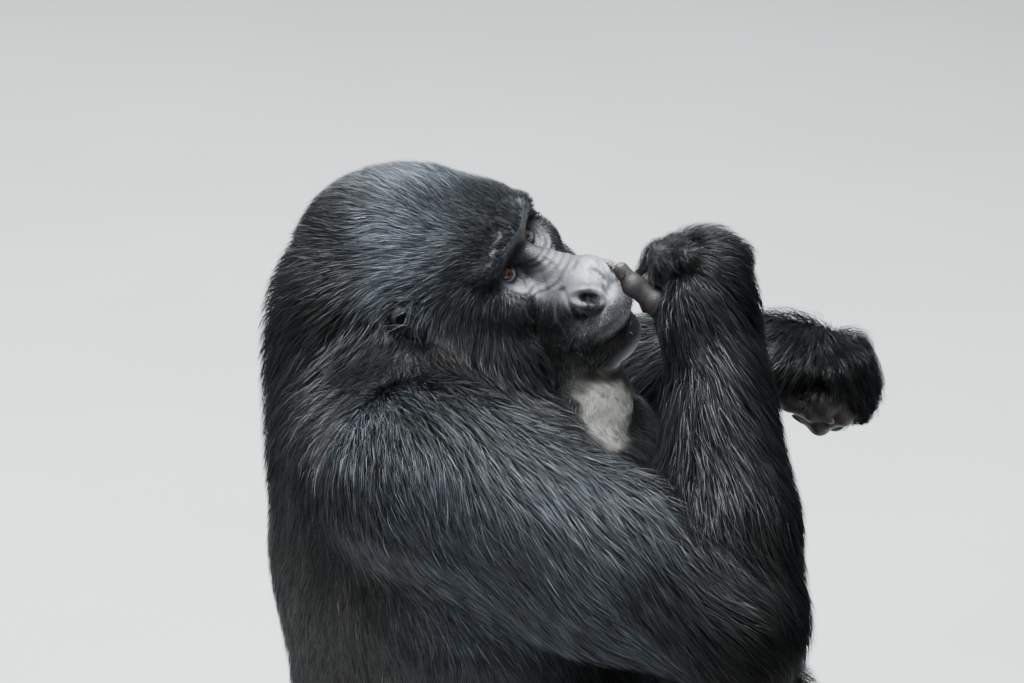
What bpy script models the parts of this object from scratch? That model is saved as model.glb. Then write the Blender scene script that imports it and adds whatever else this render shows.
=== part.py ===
"""A life-size adult male mountain gorilla, seated, still, with one hand raised to its mouth.

Metres, +Z up. The animal faces +X and its left side is +Y. The origin is on the floor, under the
middle of the rump. The surface is the outside of the coat: each flesh mass below is an ellipsoid or
a tapered limb, they are melted into one skin, and thin cuts part that skin into the named nodes.
"""

import math

import bmesh
import bpy
import numpy as np
from mathutils import Matrix, Vector
from mathutils.bvhtree import BVHTree

# ---------------------------------------------------------------- driving dimensions (metres)
HUMERUS = 0.374
FOREARM = 0.370
FEMUR = 0.370
SHANK = 0.300
SHOULDER_HEIGHT = 0.748
SHOULDER_HALF_WIDTH = 0.245
SHOULDER_BACK = -0.030
HIP_HEIGHT = 0.190
HIP_HALF_WIDTH = 0.135
ANKLE_HEIGHT = 0.075
EYE_HEIGHT = 0.920
EYE_FORWARD = 0.065
EYE_RADIUS = 0.0125
EYE_HALF_SPACING = 0.0345
EYE_DEPTH = -0.7       # centimetres, behind the middle of the head view

HEAD_YAW = -25.0      # degrees, turned to its right
HEAD_PITCH = 20.0     # chin up
HEAD_ROLL = 20.0      # left side raised

CUT = 0.0006          # width of a parting cut
SOCKET_GAP = 0.0012   # between an eyeball or ear and its seat
SOCKET_OPENING = 125  # degrees from the back of the ball to the way out
SOCKET_REACH = 0.040  # length of the way out
BODY_VOXEL = 0.008
FIELD_REACH = 0.02    # how far from the surface the field is worked out
BODY_TRIANGLES = 4000
MERGE = 0.00005       # corners of a cut nearer than this become one
CRUMB = 0.000002      # cubic metres; a cut leaves nothing smaller
WRIST_DISC = 0.120
ANKLE_DISC = 0.115


# ---------------------------------------------------------------- small vector helpers
def unit(v):
    v = np.asarray(v, float)
    return v / np.linalg.norm(v)


def heading(azimuth, elevation):
    """A unit vector: azimuth in degrees from +X towards +Y, elevation above the horizon."""
    a, e = math.radians(azimuth), math.radians(elevation)
    return np.array([math.cos(a) * math.cos(e), math.sin(a) * math.cos(e), math.sin(e)])


def rotation(yaw, pitch, roll):
    """Columns are forward, left and up after a roll about forward, a pitch up and a yaw to the left."""
    turn = Matrix.Rotation(math.radians(yaw), 3, "Z")
    lift = Matrix.Rotation(math.radians(-pitch), 3, "Y")
    tilt = Matrix.Rotation(math.radians(roll), 3, "X")
    return np.array(turn @ lift @ tilt)


# ---------------------------------------------------------------- flesh masses
class Masses:
    """The list of masses. Each has its place, its size and the width of its blend."""

    def __init__(self):
        self.items = []

    def ellipsoid(self, centre, radii, axes=np.eye(3), blend=0.03):
        self.items.append(("ellipsoid", np.asarray(centre, float), np.asarray(radii, float), axes, blend))

    def hollow(self, centre, radii, axes=np.eye(3), blend=0.01):
        """A dent pressed into the masses listed before it."""
        self.items.append(("hollow", np.asarray(centre, float), np.asarray(radii, float), axes, blend))

    def limb(self, start, end, start_radius, end_radius, blend=0.03):
        ends = (np.asarray(start, float), np.asarray(end, float))
        self.items.append(("limb", ends, (start_radius, end_radius), None, blend))


def distance(item, points):
    """Signed distance, near enough, from each point to one mass."""
    kind, place, size, axes, _ = item
    if kind != "limb":
        local = (points - place) @ axes
        scaled = np.linalg.norm(local / size, axis=1)
        slope = np.linalg.norm(local / size**2, axis=1)
        return scaled * (scaled - 1.0) / np.maximum(slope, 1e-9)
    start, end = place
    axis = end - start
    along = np.clip((points - start) @ axis / (axis @ axis), 0.0, 1.0)
    radius = size[0] + along * (size[1] - size[0])
    return np.linalg.norm(points - start - along[:, None] * axis, axis=1) - radius


def reach(item):
    """The corners of a box round a mass, with room for its blend."""
    kind, place, size, _, blend = item
    margin = blend + FIELD_REACH
    if kind != "limb":
        return place - size.max() - margin, place + size.max() + margin
    start, end = place
    margin += max(size)
    return np.minimum(start, end) - margin, np.maximum(start, end) + margin


def field(items, points):
    """The masses joined with rounded creases. It holds within FIELD_REACH of the surface."""
    total = np.ones(len(points))
    for item in items:
        low, high = reach(item)
        near = np.flatnonzero(((points > low) & (points < high)).all(axis=1))
        old, blend = total[near], item[4]
        new = distance(item, points[near])
        if item[0] == "hollow":
            mix = np.clip(0.5 - 0.5 * (old + new) / blend, 0.0, 1.0)
            total[near] = old * (1 - mix) - new * mix + blend * mix * (1 - mix)
            continue
        mix = np.clip(0.5 + 0.5 * (old - new) / blend, 0.0, 1.0)
        total[near] = old * (1 - mix) + new * mix - blend * mix * (1 - mix)
    return total


# ---------------------------------------------------------------- the animal
HEAD_AXES = rotation(HEAD_YAW, HEAD_PITCH, HEAD_ROLL)
HEAD_ORIGIN = np.array([EYE_FORWARD, 0.0, EYE_HEIGHT])
CM = 0.01
EAR_PLACE = np.array([-9.7, 10.6, 0.8])


def on_head(forward, left, up):
    """A point given in centimetres from midway between the eyes, in the head's own axes."""
    return HEAD_ORIGIN + HEAD_AXES @ (np.array([forward, left, up]) * CM)


HAND_ALONG = {"r": (0.06, 0.20, 0.97), "l": (0.80, -0.55, 0.12)}
HAND_PALM = {"r": (-0.62, 0.78, 0.0), "l": (-0.35, 0.35, -0.85)}


def skeleton():
    """Joint centres of the pose, from bone lengths and headings."""
    joint = {}
    for side, sign in (("r", -1), ("l", 1)):
        joint["shoulder_" + side] = np.array([SHOULDER_BACK, sign * SHOULDER_HALF_WIDTH, SHOULDER_HEIGHT])
        joint["hip_" + side] = np.array([0.01, sign * HIP_HALF_WIDTH, HIP_HEIGHT])
    joint["elbow_r"] = joint["shoulder_r"] + HUMERUS * heading(-9, -24)
    joint["wrist_r"] = joint["elbow_r"] + 0.90 * FOREARM * heading(100.5, 59)
    joint["elbow_l"] = joint["shoulder_l"] + HUMERUS * heading(56.8, -29)
    joint["wrist_l"] = joint["elbow_l"] + 0.88 * FOREARM * heading(-38.8, 20.5)
    joint["knee_r"] = joint["hip_r"] + FEMUR * heading(-36, 17)
    joint["knee_l"] = joint["hip_l"] + FEMUR * heading(38, 20)
    joint["ankle_r"] = joint["knee_r"] + SHANK * heading(28, -46)
    joint["ankle_l"] = joint["knee_l"] + SHANK * heading(-30, -50)
    for side in "rl":
        joint["ankle_" + side][2] = ANKLE_HEIGHT
        joint["palm_" + side] = joint["wrist_" + side] + 0.04 * unit(HAND_ALONG[side])
    return joint


def trunk(m):
    m.ellipsoid((-0.015, 0, 0.170), (0.245, 0.285, 0.205), blend=0.05)  # rump
    m.ellipsoid((0.070, 0, 0.360), (0.265, 0.290, 0.250), blend=0.10)  # belly
    m.ellipsoid((-0.005, 0, 0.580), (0.218, 0.275, 0.238), blend=0.08)  # chest
    m.ellipsoid((-0.063, 0, 0.707), (0.157, 0.262, 0.137), blend=0.04)  # shoulder hump
    m.ellipsoid((-0.120, 0.035, 0.812), (0.106, 0.102, 0.140), blend=0.04)  # nape
    m.ellipsoid((0.122, 0.030, 0.650), (0.118, 0.170, 0.120), blend=0.04)  # breast
    m.ellipsoid((0.140, 0.000, 0.745), (0.056, 0.062, 0.064), blend=0.012)  # bare fold


def skull(m):
    """The back and top of the head, and the wide cheeks and jaws that frame the face."""
    a = HEAD_AXES
    m.ellipsoid(on_head(-11, 0, 2.0), (0.125, 0.105, 0.098), a, blend=0.03)  # braincase
    m.ellipsoid(on_head(-13, 0, 5.5), (0.120, 0.072, 0.092), a, blend=0.03)  # crest
    m.ellipsoid(on_head(-3.4, 0, 3.6), (0.058, 0.076, 0.052), a, blend=0.02)  # forehead
    m.ellipsoid(on_head(-2, 0, -12.0), (0.080, 0.062, 0.060), a, blend=0.03)  # throat
    for s in (-1, 1):
        m.ellipsoid(on_head(-3.8, 6.2 * s, -2.8), (0.056, 0.036, 0.058), a, 0.025)  # cheekbone
        m.ellipsoid(on_head(-5.5, 8.0 * s, -9.0), (0.070, 0.050, 0.076), a, 0.02)  # jowl


def face(m):
    """The bare face: brow bar, sunken eyes, broad nose pad and the two lips."""
    a = HEAD_AXES
    m.ellipsoid(on_head(2.2, 0, -7.8), (0.058, 0.056, 0.064), a, blend=0.02)  # muzzle
    m.ellipsoid(on_head(5.2, 0, -9.3), (0.049, 0.054, 0.030), a, blend=0.012)  # upper lip
    m.ellipsoid(on_head(4.6, 0, -13.2), (0.048, 0.047, 0.030), a, blend=0.012)  # chin
    for s in (-1, 1):
        m.ellipsoid(on_head(-0.6, 5.0 * s, -2.8), (0.026, 0.030, 0.024), a, 0.015)  # below the eye
        m.hollow(on_head(2.3, 3.6 * s, 0.2), (0.028, 0.020, 0.019), a, 0.008)  # eye hollow
    m.limb(on_head(0.6, 0, 0.4), on_head(4.6, 0, -3.9), 0.0125, 0.0200, 0.012)  # bridge
    m.ellipsoid(on_head(5.6, 0, -5.6), (0.031, 0.036, 0.025), a, 0.008)  # nose pad
    for s in (-1, 1):
        m.limb(on_head(0.4, 0, 3.3), on_head(-0.4, 6.3 * s, 2.6), 0.0170, 0.0160, 0.014)  # brow
        m.ellipsoid(on_head(6.2, 1.5 * s, -4.6), (0.019, 0.017, 0.014), a, 0.006)  # nose lobe
        m.ellipsoid(on_head(6.4, 2.4 * s, -6.4), (0.021, 0.018, 0.018), a, 0.006)  # nose wing
        m.hollow(on_head(7.5, 2.9 * s, -5.2), (0.0150, 0.0110, 0.0075), a, 0.003)  # nostril


def head(m):
    m.limb(on_head(-9, 0, -2), np.array([-0.07, 0.01, 0.74]), 0.084, 0.118, 0.03)  # neck
    skull(m)
    face(m)


def arm(m, joint, side):
    shoulder, elbow, wrist = (joint[n + "_" + side] for n in ("shoulder", "elbow", "wrist"))
    middle = shoulder * 0.45 + elbow * 0.55
    m.limb(shoulder, middle, 0.116, 0.105, 0.05)
    m.limb(middle, elbow, 0.105, 0.076, 0.03)
    bulge = elbow * 0.65 + wrist * 0.35
    m.limb(elbow, bulge, 0.076, 0.078, 0.02)
    m.limb(bulge, wrist, 0.078, 0.060, 0.02)


def leg(m, joint, side):
    hip, knee, ankle = (joint[n + "_" + side] for n in ("hip", "knee", "ankle"))
    m.limb(hip, knee, 0.150, 0.100, 0.05)
    calf = knee * 0.6 + ankle * 0.4
    m.limb(knee, calf, 0.095, 0.085, 0.03)
    m.limb(calf, ankle, 0.085, 0.055, 0.02)


FINGER_BONES = (0.054, 0.038, 0.027)
FINGER_RADII = (0.0165, 0.0150, 0.0135, 0.0105)
FINGER_SIZES = (1.0, 1.08, 1.02, 0.84)
THUMB_BONES = (0.040, 0.030, 0.022)
THUMB_RADII = (0.0190, 0.0140, 0.0120, 0.0090)
PALM_LENGTH = 0.085
FINGER_PITCH = 0.0260
DOWN = np.array([0, 0, -1.0])


def chain(m, start, steps, radii):
    """Bones end to end, each step a vector."""
    for step, r0, r1 in zip(steps, radii, radii[1:]):
        m.limb(start, start + step, r0, r1, 0.005)
        start = start + step


def curl(lengths, direction, towards, angles):
    """Steps of a digit. Each angle, in degrees, bends it further from direction to towards."""
    bends = np.radians(np.cumsum(angles))
    return [n * (direction * math.cos(b) + towards * math.sin(b)) for n, b in zip(lengths, bends)]


def hand(m, wrist, along, palm, side, curls, thumb):
    """along points to the knuckles and palm out of the palm. thumb is each bone's way in hand axes."""
    along = unit(along)
    palm = unit(palm - along * (along @ palm))
    across = np.cross(palm, along) * (-1 if side == "r" else 1)       # towards the thumb
    axes = np.stack([along, across, palm], axis=1)
    m.ellipsoid(wrist + along * PALM_LENGTH * 0.50, (0.062, 0.050, 0.030), axes, 0.015)
    m.ellipsoid(wrist + axes @ (0.022, 0, -0.012), (0.072, 0.056, 0.040), axes, 0.015)  # furry back
    m.ellipsoid(wrist + axes @ (0.076, 0, 0.020), (0.038, 0.054, 0.044), axes, 0.012)  # furry knuckles
    m.ellipsoid(wrist + axes @ (0.012, 0.040, -0.002), (0.056, 0.036, 0.034), axes, 0.015)  # furry heel
    m.ellipsoid(wrist + axes @ (0.069, 0.043, 0.036), (0.030, 0.026, 0.028), axes, 0.008)  # folded index
    for k, size in enumerate(FINGER_SIZES):
        start = wrist + along * (PALM_LENGTH - 0.006 * abs(k - 1)) + across * FINGER_PITCH * (1.5 - k)
        steps = curl([n * size for n in FINGER_BONES], along, palm, curls)
        chain(m, start, steps, FINGER_RADII)
    base = wrist + axes @ (-0.004, 0.034, 0.014)
    steps = [n * (axes @ unit(way)) for n, way in zip(THUMB_BONES, thumb)]
    chain(m, base, steps, THUMB_RADII)


def foot(m, ankle, toe_azimuth, side):
    """A flat foot on the floor under its ankle, with a big toe set apart as a thumb is."""
    sign = -1 if side == "r" else 1
    ahead = heading(toe_azimuth, 0)
    inner = -sign * np.array([-ahead[1], ahead[0], 0.0])
    ground = np.array([ankle[0], ankle[1], 0.0])
    heel = ground - ahead * 0.045
    axes = np.stack([ahead, inner, np.array([0, 0, 1.0])], axis=1)
    m.limb(ankle, heel + (0, 0, 0.038), 0.052, 0.046, 0.02)
    m.ellipsoid(ground + ahead * 0.065 + (0, 0, 0.026), (0.125, 0.050, 0.040), axes, 0.02)
    ball = ground + ahead * 0.135
    for k in range(4):
        start = ball + inner * (0.033 - 0.025 * k) - ahead * 0.007 * k + (0, 0, 0.022)
        steps = curl((0.040 - 0.003 * k, 0.028, 0.020), ahead, DOWN, (-4, 10, 10))
        chain(m, start, steps, (0.0170, 0.0150, 0.0140, 0.0125))
    start = ground + ahead * 0.045 + inner * 0.036 + (0, 0, 0.024)
    steps = curl((0.055, 0.036, 0.026), unit(ahead + inner * 0.75), DOWN, (0, 6, 8))
    chain(m, start, steps, (0.0210, 0.0185, 0.0175, 0.0145))


def gorilla_masses():
    m, joint = Masses(), skeleton()
    trunk(m)
    head(m)
    for side in "rl":
        arm(m, joint, side)
        leg(m, joint, side)
    # The right hand is raised, its palm to the mouth and the fingers folded over the top.
    hand(m, joint["wrist_r"], HAND_ALONG["r"], HAND_PALM["r"], "r", (92, 62, 55),
         ((0.72, 0.50, 0.42), (0.55, 0.62, 0.50), (0.75, 0.45, 0.40)))
    hand(m, joint["wrist_l"], HAND_ALONG["l"], HAND_PALM["l"], "l", (80, 80, 50),
         ((0.75, 0.45, 0.45), (0.90, -0.05, 0.40), (0.90, -0.3, 0.30)))
    foot(m, joint["ankle_r"], -14, "r")
    foot(m, joint["ankle_l"], 16, "l")
    return m.items, joint


# ---------------------------------------------------------------- from masses to one closed skin
def unit_mesh(make, **size):
    """One of bmesh's primitives about the origin, as a mesh to copy."""
    bm = bmesh.new()
    make(bm, **size)
    mesh = bpy.data.meshes.new("unit")
    bm.to_mesh(mesh)
    bm.free()
    return mesh


def primitive_mesh(items, swell):
    """Every mass as a plain sphere or a string of spheres, overlapping, as the start of the skin."""
    sphere = unit_mesh(bmesh.ops.create_uvsphere, u_segments=20, v_segments=14, radius=1)
    bm = bmesh.new()

    def add(matrix):
        copy = sphere.copy()
        copy.transform(matrix)
        bm.from_mesh(copy)
        bpy.data.meshes.remove(copy)

    for kind, place, size, axes, _ in items:
        if kind == "ellipsoid":
            shape = Matrix(axes.tolist()).to_4x4() @ Matrix.Diagonal([*(size + swell), 1.0])
            add(Matrix.Translation(place) @ shape)
        elif kind == "limb":
            (start, end), (r0, r1) = place, size
            count = 2 + int(np.linalg.norm(end - start) / (0.4 * min(size)))
            for t in np.linspace(0, 1, count):
                radius = r0 + t * (r1 - r0) + swell
                add(Matrix.Translation(start + t * (end - start)) @ Matrix.Scale(radius, 4))
    mesh = bpy.data.meshes.new("masses")
    bm.to_mesh(mesh)
    bm.free()
    return mesh


def fit_to_field(mesh, items, rounds):
    """Moves each vertex onto the melted surface, easing the mesh between moves."""
    count = len(mesh.vertices)
    points = np.empty(count * 3)
    mesh.vertices.foreach_get("co", points)
    points = points.reshape(-1, 3)
    edges = np.empty(len(mesh.edges) * 2, np.int64)
    mesh.edges.foreach_get("vertices", edges)
    a, b = edges.reshape(-1, 2).T
    valence = np.bincount(edges, minlength=count)[:, None]
    step = 0.0005
    for turn in range(rounds):
        value = field(items, points)
        slope = np.stack([field(items, points + step * axis) - value for axis in np.eye(3)], axis=1) / step
        size = np.maximum((slope**2).sum(axis=1), 0.25)
        move = np.clip(value / size, -0.02, 0.02)[:, None] * slope
        points = points - move
        if turn < rounds - 1:
            total = np.stack([np.bincount(a, points[b, k], count) + np.bincount(b, points[a, k], count)
                              for k in range(3)], axis=1)
            points = points * 0.5 + 0.5 * total / valence
    mesh.vertices.foreach_set("co", points.ravel())
    mesh.update()


def apply_modifiers(obj):
    """Replaces the object's mesh by what its modifiers make of it."""
    graph = bpy.context.evaluated_depsgraph_get()
    made = bpy.data.meshes.new_from_object(obj.evaluated_get(graph))
    obj.modifiers.clear()
    obj.data = made


def melted_body(items):
    body = bpy.data.objects.new("body", primitive_mesh(items, swell=0.003))
    bpy.context.scene.collection.objects.link(body)
    remesh = body.modifiers.new("melt", "REMESH")
    remesh.mode = "VOXEL"
    remesh.voxel_size = BODY_VOXEL
    apply_modifiers(body)
    fit_to_field(body.data, items, rounds=6)
    return body


# ---------------------------------------------------------------- closed shapes for the cutters and eyes
def box_shape(low, high):
    corners = [(x, y, z) for x in (low[0], high[0]) for y in (low[1], high[1]) for z in (low[2], high[2])]
    return corners, [(0, 1, 3, 2), (4, 6, 7, 5), (0, 4, 5, 1), (2, 3, 7, 6), (0, 2, 6, 4), (1, 5, 7, 3)]


def frame_along(axis):
    """Two unit vectors square to an axis and to each other."""
    axis = unit(axis)
    side = unit(np.cross(axis, (0.0, 0.0, 1.0) if abs(axis[2]) < 0.9 else (1.0, 0.0, 0.0)))
    return side, np.cross(axis, side)


def turned_shape(start, axis, profile, around):
    """A closed surface of revolution. The profile runs pole to pole as (along, radius), from low to high."""
    axis = unit(axis)
    side, other = frame_along(axis)
    points = [start + axis * profile[0][0]]
    for along, radius in profile[1:-1]:
        for k in range(around):
            angle = 2 * math.pi * k / around
            points.append(start + axis * along + (side * math.cos(angle) + other * math.sin(angle)) * radius)
    points.append(start + axis * profile[-1][0])
    last, rings = len(points) - 1, len(profile) - 2
    faces = [(0, 1 + (k + 1) % around, 1 + k) for k in range(around)]
    for ring in range(rings - 1):
        base = 1 + ring * around
        for k in range(around):
            n = (k + 1) % around
            faces.append((base + k, base + n, base + around + n, base + around + k))
    base = 1 + (rings - 1) * around
    faces += [(base + k, base + (k + 1) % around, last) for k in range(around)]
    return [tuple(p) for p in points], faces


def rounded_profile(length, stations, grow):
    """A bar with round ends. stations are (share of the length, radius)."""
    r0, r1 = stations[0][1] + grow, stations[-1][1] + grow
    angles = np.radians((0, 30, 65))
    first = [(-r0 * math.cos(a), r0 * math.sin(a)) for a in angles]
    last = [(length + r1 * math.cos(a), r1 * math.sin(a)) for a in angles[::-1]]
    return first + [(share * length, radius + grow) for share, radius in stations] + last


def shell(outer, inner):
    """A thin hollow solid between two closed shapes."""
    points = outer[0] + inner[0]
    first = len(outer[0])
    return points, outer[1] + [tuple(first + v for v in reversed(face)) for face in inner[1]]


def sleeve_shape(start, end, stations, around=12):
    """A thin shell round a limb. It parts the limb from whatever it grows out of or into."""
    length = np.linalg.norm(end - start)
    sides = [turned_shape(start, end - start, rounded_profile(length, stations, grow), around)
             for grow in (CUT / 2, -CUT / 2)]
    return shell(*sides)


def disc_shape(centre, normal, radius, around=20):
    profile = [(-CUT / 2, 0.0), (-CUT / 2, radius), (CUT / 2, radius), (CUT / 2, 0.0)]
    return turned_shape(np.asarray(centre, float), normal, profile, around)


def bowl_shape(centre, radii, axes, open_angle, around=16, rings=4):
    """The lower part of a thin egg shell: inside and outside skins, joined at the rim."""
    points, faces = [], []
    for grow in (CUT / 2, -CUT / 2):
        size = np.asarray(radii) + grow
        points.append(centre - axes[:, 2] * size[2])
        for ring in range(1, rings + 1):
            polar = math.radians(open_angle) * ring / rings
            for k in range(around):
                turn = 2 * math.pi * k / around
                local = (math.sin(polar) * math.cos(turn), math.sin(polar) * math.sin(turn), -math.cos(polar))
                points.append(centre + axes @ (size * local))
    half = len(points) // 2
    for first, inward in ((0, False), (half, True)):
        skin = [(first, first + 1 + (k + 1) % around, first + 1 + k) for k in range(around)]
        for ring in range(rings - 1):
            base = first + 1 + ring * around
            for k in range(around):
                n = (k + 1) % around
                skin.append((base + k, base + n, base + around + n, base + around + k))
        faces += [tuple(reversed(face)) for face in skin] if inward else skin
    rim = 1 + (rings - 1) * around
    for k in range(around):
        n = (k + 1) % around
        faces.append((rim + k, rim + n, half + rim + n, half + rim + k))
    return [tuple(p) for p in points], faces


def ball_shape(centre, radii, axes, around=16, rings=10):
    polar = [math.pi * k / rings for k in range(rings + 1)]
    profile = [(-math.cos(a), math.sin(a)) for a in polar]
    points, faces = turned_shape(np.zeros(3), (0, 0, 1), profile, around)
    return [tuple(centre + axes @ (np.asarray(radii) * p)) for p in points], faces


def socket_shape(centre, radius, ahead, around=12):
    """A ball with a straight way out in front of it, so the eye looks out of the head."""
    turns = np.radians(np.linspace(0, SOCKET_OPENING, 6))
    profile = [(-radius * math.cos(a), radius * math.sin(a)) for a in turns]
    profile += [(SOCKET_REACH, profile[-1][1]), (SOCKET_REACH, 0.0)]
    return turned_shape(centre, ahead, profile, around)


# ---------------------------------------------------------------- cutting
def collection(name):
    group = bpy.data.collections.get(name)
    if group is None:
        group = bpy.data.collections.new(name)
        bpy.context.scene.collection.children.link(group)
    return group


def closed_mesh(name, points, faces):
    mesh = bpy.data.meshes.new(name)
    mesh.from_pydata(points, [], faces)
    return bpy.data.objects.new(name, mesh)


def cutter(name, shape):
    obj = closed_mesh(name, *shape)
    collection("cutters").objects.link(obj)
    obj.hide_render = True
    obj.display_type = "WIRE"
    return obj


def subtract(obj, tool):
    """Cuts the tool out of an object and tidies the corners of the cut."""
    boolean = obj.modifiers.new("cut", "BOOLEAN")
    boolean.operation = "DIFFERENCE"
    boolean.solver = "EXACT"
    boolean.object = tool
    apply_modifiers(obj)
    bm = bmesh.new()
    bm.from_mesh(obj.data)
    bmesh.ops.dissolve_degenerate(bm, dist=MERGE, edges=bm.edges)
    bmesh.ops.remove_doubles(bm, verts=bm.verts, dist=MERGE)
    bmesh.ops.triangulate(bm, faces=bm.faces)
    bm.to_mesh(obj.data)
    bm.free()


def islands(mesh):
    """The separate closed pieces of a mesh, each as its points and triangles."""
    bm = bmesh.new()
    bm.from_mesh(mesh)
    bm.verts.ensure_lookup_table()
    seen, pieces = set(), []
    for first in bm.verts:
        if first.index in seen or not first.link_faces:
            continue
        seen.add(first.index)
        queue, verts, faces = [first], [], set()
        while queue:
            vert = queue.pop()
            verts.append(vert)
            faces.update(vert.link_faces)
            for edge in vert.link_edges:
                other = edge.other_vert(vert)
                if other.index not in seen:
                    seen.add(other.index)
                    queue.append(other)
        place = {vert.index: k for k, vert in enumerate(verts)}
        pieces.append(([tuple(v.co) for v in verts], [tuple(place[v.index] for v in f.verts) for f in faces]))
    bm.free()
    return pieces


def is_inside(tree, point):
    """True where a ray from the point leaves the closed surface an odd number of times."""
    way = Vector(unit((0.31, 0.23, 0.92)))
    spot, crossings = Vector(point), 0
    while True:
        spot = tree.ray_cast(spot, way)[0]
        if spot is None:
            return crossings % 2 == 1
        crossings += 1
        spot = spot + way * 0.00001


def volume(points, faces):
    corners = np.array(points)[np.array(faces)]
    return np.einsum("ij,ij->i", corners[:, 0], np.cross(corners[:, 1], corners[:, 2])).sum() / 6


def part_with(piece, tool, anchors):
    """Cuts a piece and gives each part the name of the anchor point that lies inside it."""
    subtract(piece, tool)
    parts = [part for part in islands(piece.data) if volume(*part) > CRUMB]
    trees = [BVHTree.FromPolygons(points, faces) for points, faces in parts]
    made = {}
    for name, point in anchors.items():
        holding = [k for k, tree in enumerate(trees) if is_inside(tree, point)]
        assert len(holding) == 1, (piece.name, name, holding)
        made[name] = closed_mesh(name, *parts[holding[0]])
        bpy.context.scene.collection.objects.link(made[name])
    assert len(parts) == len(made), (piece.name, "left over", [volume(*part) for part in parts])
    bpy.data.objects.remove(piece)
    return made


def midway(a, b, share=0.5):
    return a + (b - a) * share


ARM_SLEEVE = ((0.0, 0.133), (0.55, 0.121), (1.0, 0.093))     # share of the humerus, radius
THIGH_SLEEVE = ((0.0, 0.150), (1.0, 0.116))
THIGH_START = 0.30
WAIST_HEIGHT = 0.440
HEAD_BOWL_CENTRE = np.array([0.0, 0.0, 0.930])
HEAD_BOWL_RADII = (0.250, 0.185, 0.160)
NECK_BOWL_RADII = (0.275, 0.200, 0.195)
BOWL_TILT = 20.0      # degrees, the nape side raised


def part_into_nodes(body, joint):
    """Parts the whole skin where a person would name its pieces."""
    nodes = {}
    for side in "rl":
        shoulder, elbow, wrist = (joint[n + "_" + side] for n in ("shoulder", "elbow", "wrist"))
        made = part_with(body, cutter("upper arm cut " + side, sleeve_shape(shoulder, elbow, ARM_SLEEVE)),
                         {"upper_arm_" + side: midway(shoulder, elbow), "forearm": midway(elbow, wrist),
                          "body": (0, 0, 0.5)})
        body = made.pop("body")
        across = unit(wrist - elbow) + unit(HAND_ALONG[side])
        lower = cutter("wrist cut " + side, disc_shape(wrist - 0.01 * across, across, WRIST_DISC))
        nodes.update(part_with(made.pop("forearm"), lower,
                               {"forearm_" + side: midway(elbow, wrist), "hand_" + side: joint["palm_" + side]}))
        nodes.update(made)
        hip, knee, ankle = (joint[n + "_" + side] for n in ("hip", "knee", "ankle"))
        sleeve = sleeve_shape(midway(hip, knee, THIGH_START), knee, THIGH_SLEEVE)
        made = part_with(body, cutter("thigh cut " + side, sleeve),
                         {"thigh_" + side: midway(hip, knee, 0.7), "shank": midway(knee, ankle, 0.7),
                          "body": (0, 0, 0.5)})
        body = made.pop("body")
        lower = cutter("ankle cut " + side,
                       disc_shape(ankle + (0, 0, 0.020), unit(knee - ankle) + (0, 0, 0.8), ANKLE_DISC))
        nodes.update(part_with(made.pop("shank"), lower,
                               {"shank_" + side: midway(knee, ankle, 0.6), "foot_" + side: ankle * (1, 1, 0.5)}))
        nodes.update(made)
    axes = rotation(0, -BOWL_TILT, 0)
    made = part_with(body, cutter("head cut", bowl_shape(HEAD_BOWL_CENTRE, HEAD_BOWL_RADII, axes, 84)),
                     {"head": on_head(-8, 0, 0), "body": (0, 0, 0.5)})
    nodes["head"] = made["head"]
    made = part_with(made["body"], cutter("neck cut", bowl_shape(HEAD_BOWL_CENTRE, NECK_BOWL_RADII, axes, 84)),
                     {"neck": HEAD_BOWL_CENTRE - axes[:, 2] * 0.178, "body": (0, 0, 0.5)})
    nodes["neck"] = made["neck"]
    waist = cutter("waist cut", disc_shape((0, 0, WAIST_HEIGHT), (0, 0, 1), 0.45))
    nodes.update(part_with(made["body"], waist, {"chest": (0, 0, 0.55), "abdomen": (0, 0, 0.3)}))
    return nodes


# ---------------------------------------------------------------- eyes and ears, set into the head
EAR_RADII = (0.018, 0.010, 0.026)


def ear_axes(sign):
    """Columns of an ear's own axes: along its width, out of its face, and up."""
    out = HEAD_AXES @ unit((0.40, sign * 0.90, 0.0))
    up = HEAD_AXES @ unit((-0.42, 0.0, 0.91))
    return np.stack([unit(np.cross(out, up)), out, unit(np.cross(unit(np.cross(out, up)), out))], axis=1)


def eyes_and_ears(head):
    nodes = {}
    for side, sign in (("r", -1), ("l", 1)):
        place = on_head(EYE_DEPTH, sign * EYE_HALF_SPACING / CM, 0)
        size = np.full(3, EYE_RADIUS)
        socket = socket_shape(place, EYE_RADIUS + SOCKET_GAP, HEAD_AXES[:, 0])
        subtract(head, cutter("eye socket " + side, socket))
        nodes["eye_" + side] = closed_mesh("eye_" + side, *ball_shape(place, size, HEAD_AXES, 12, 8))
        place, size = on_head(*EAR_PLACE * (1, sign, 1)), np.asarray(EAR_RADII)
        axes = ear_axes(sign)
        subtract(head, cutter("ear seat " + side, ball_shape(place, size + SOCKET_GAP, axes, 12, 8)))
        nodes["ear_" + side] = closed_mesh("ear_" + side, *ball_shape(place, size, axes, 12, 8))
    return nodes


# ---------------------------------------------------------------- materials
def material(name, colour, roughness):
    made = bpy.data.materials.new(name)
    made.use_nodes = True
    shader = made.node_tree.nodes["Principled BSDF"]
    shader.inputs["Base Color"].default_value = (*colour, 1.0)
    shader.inputs["Roughness"].default_value = roughness
    return made


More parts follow.
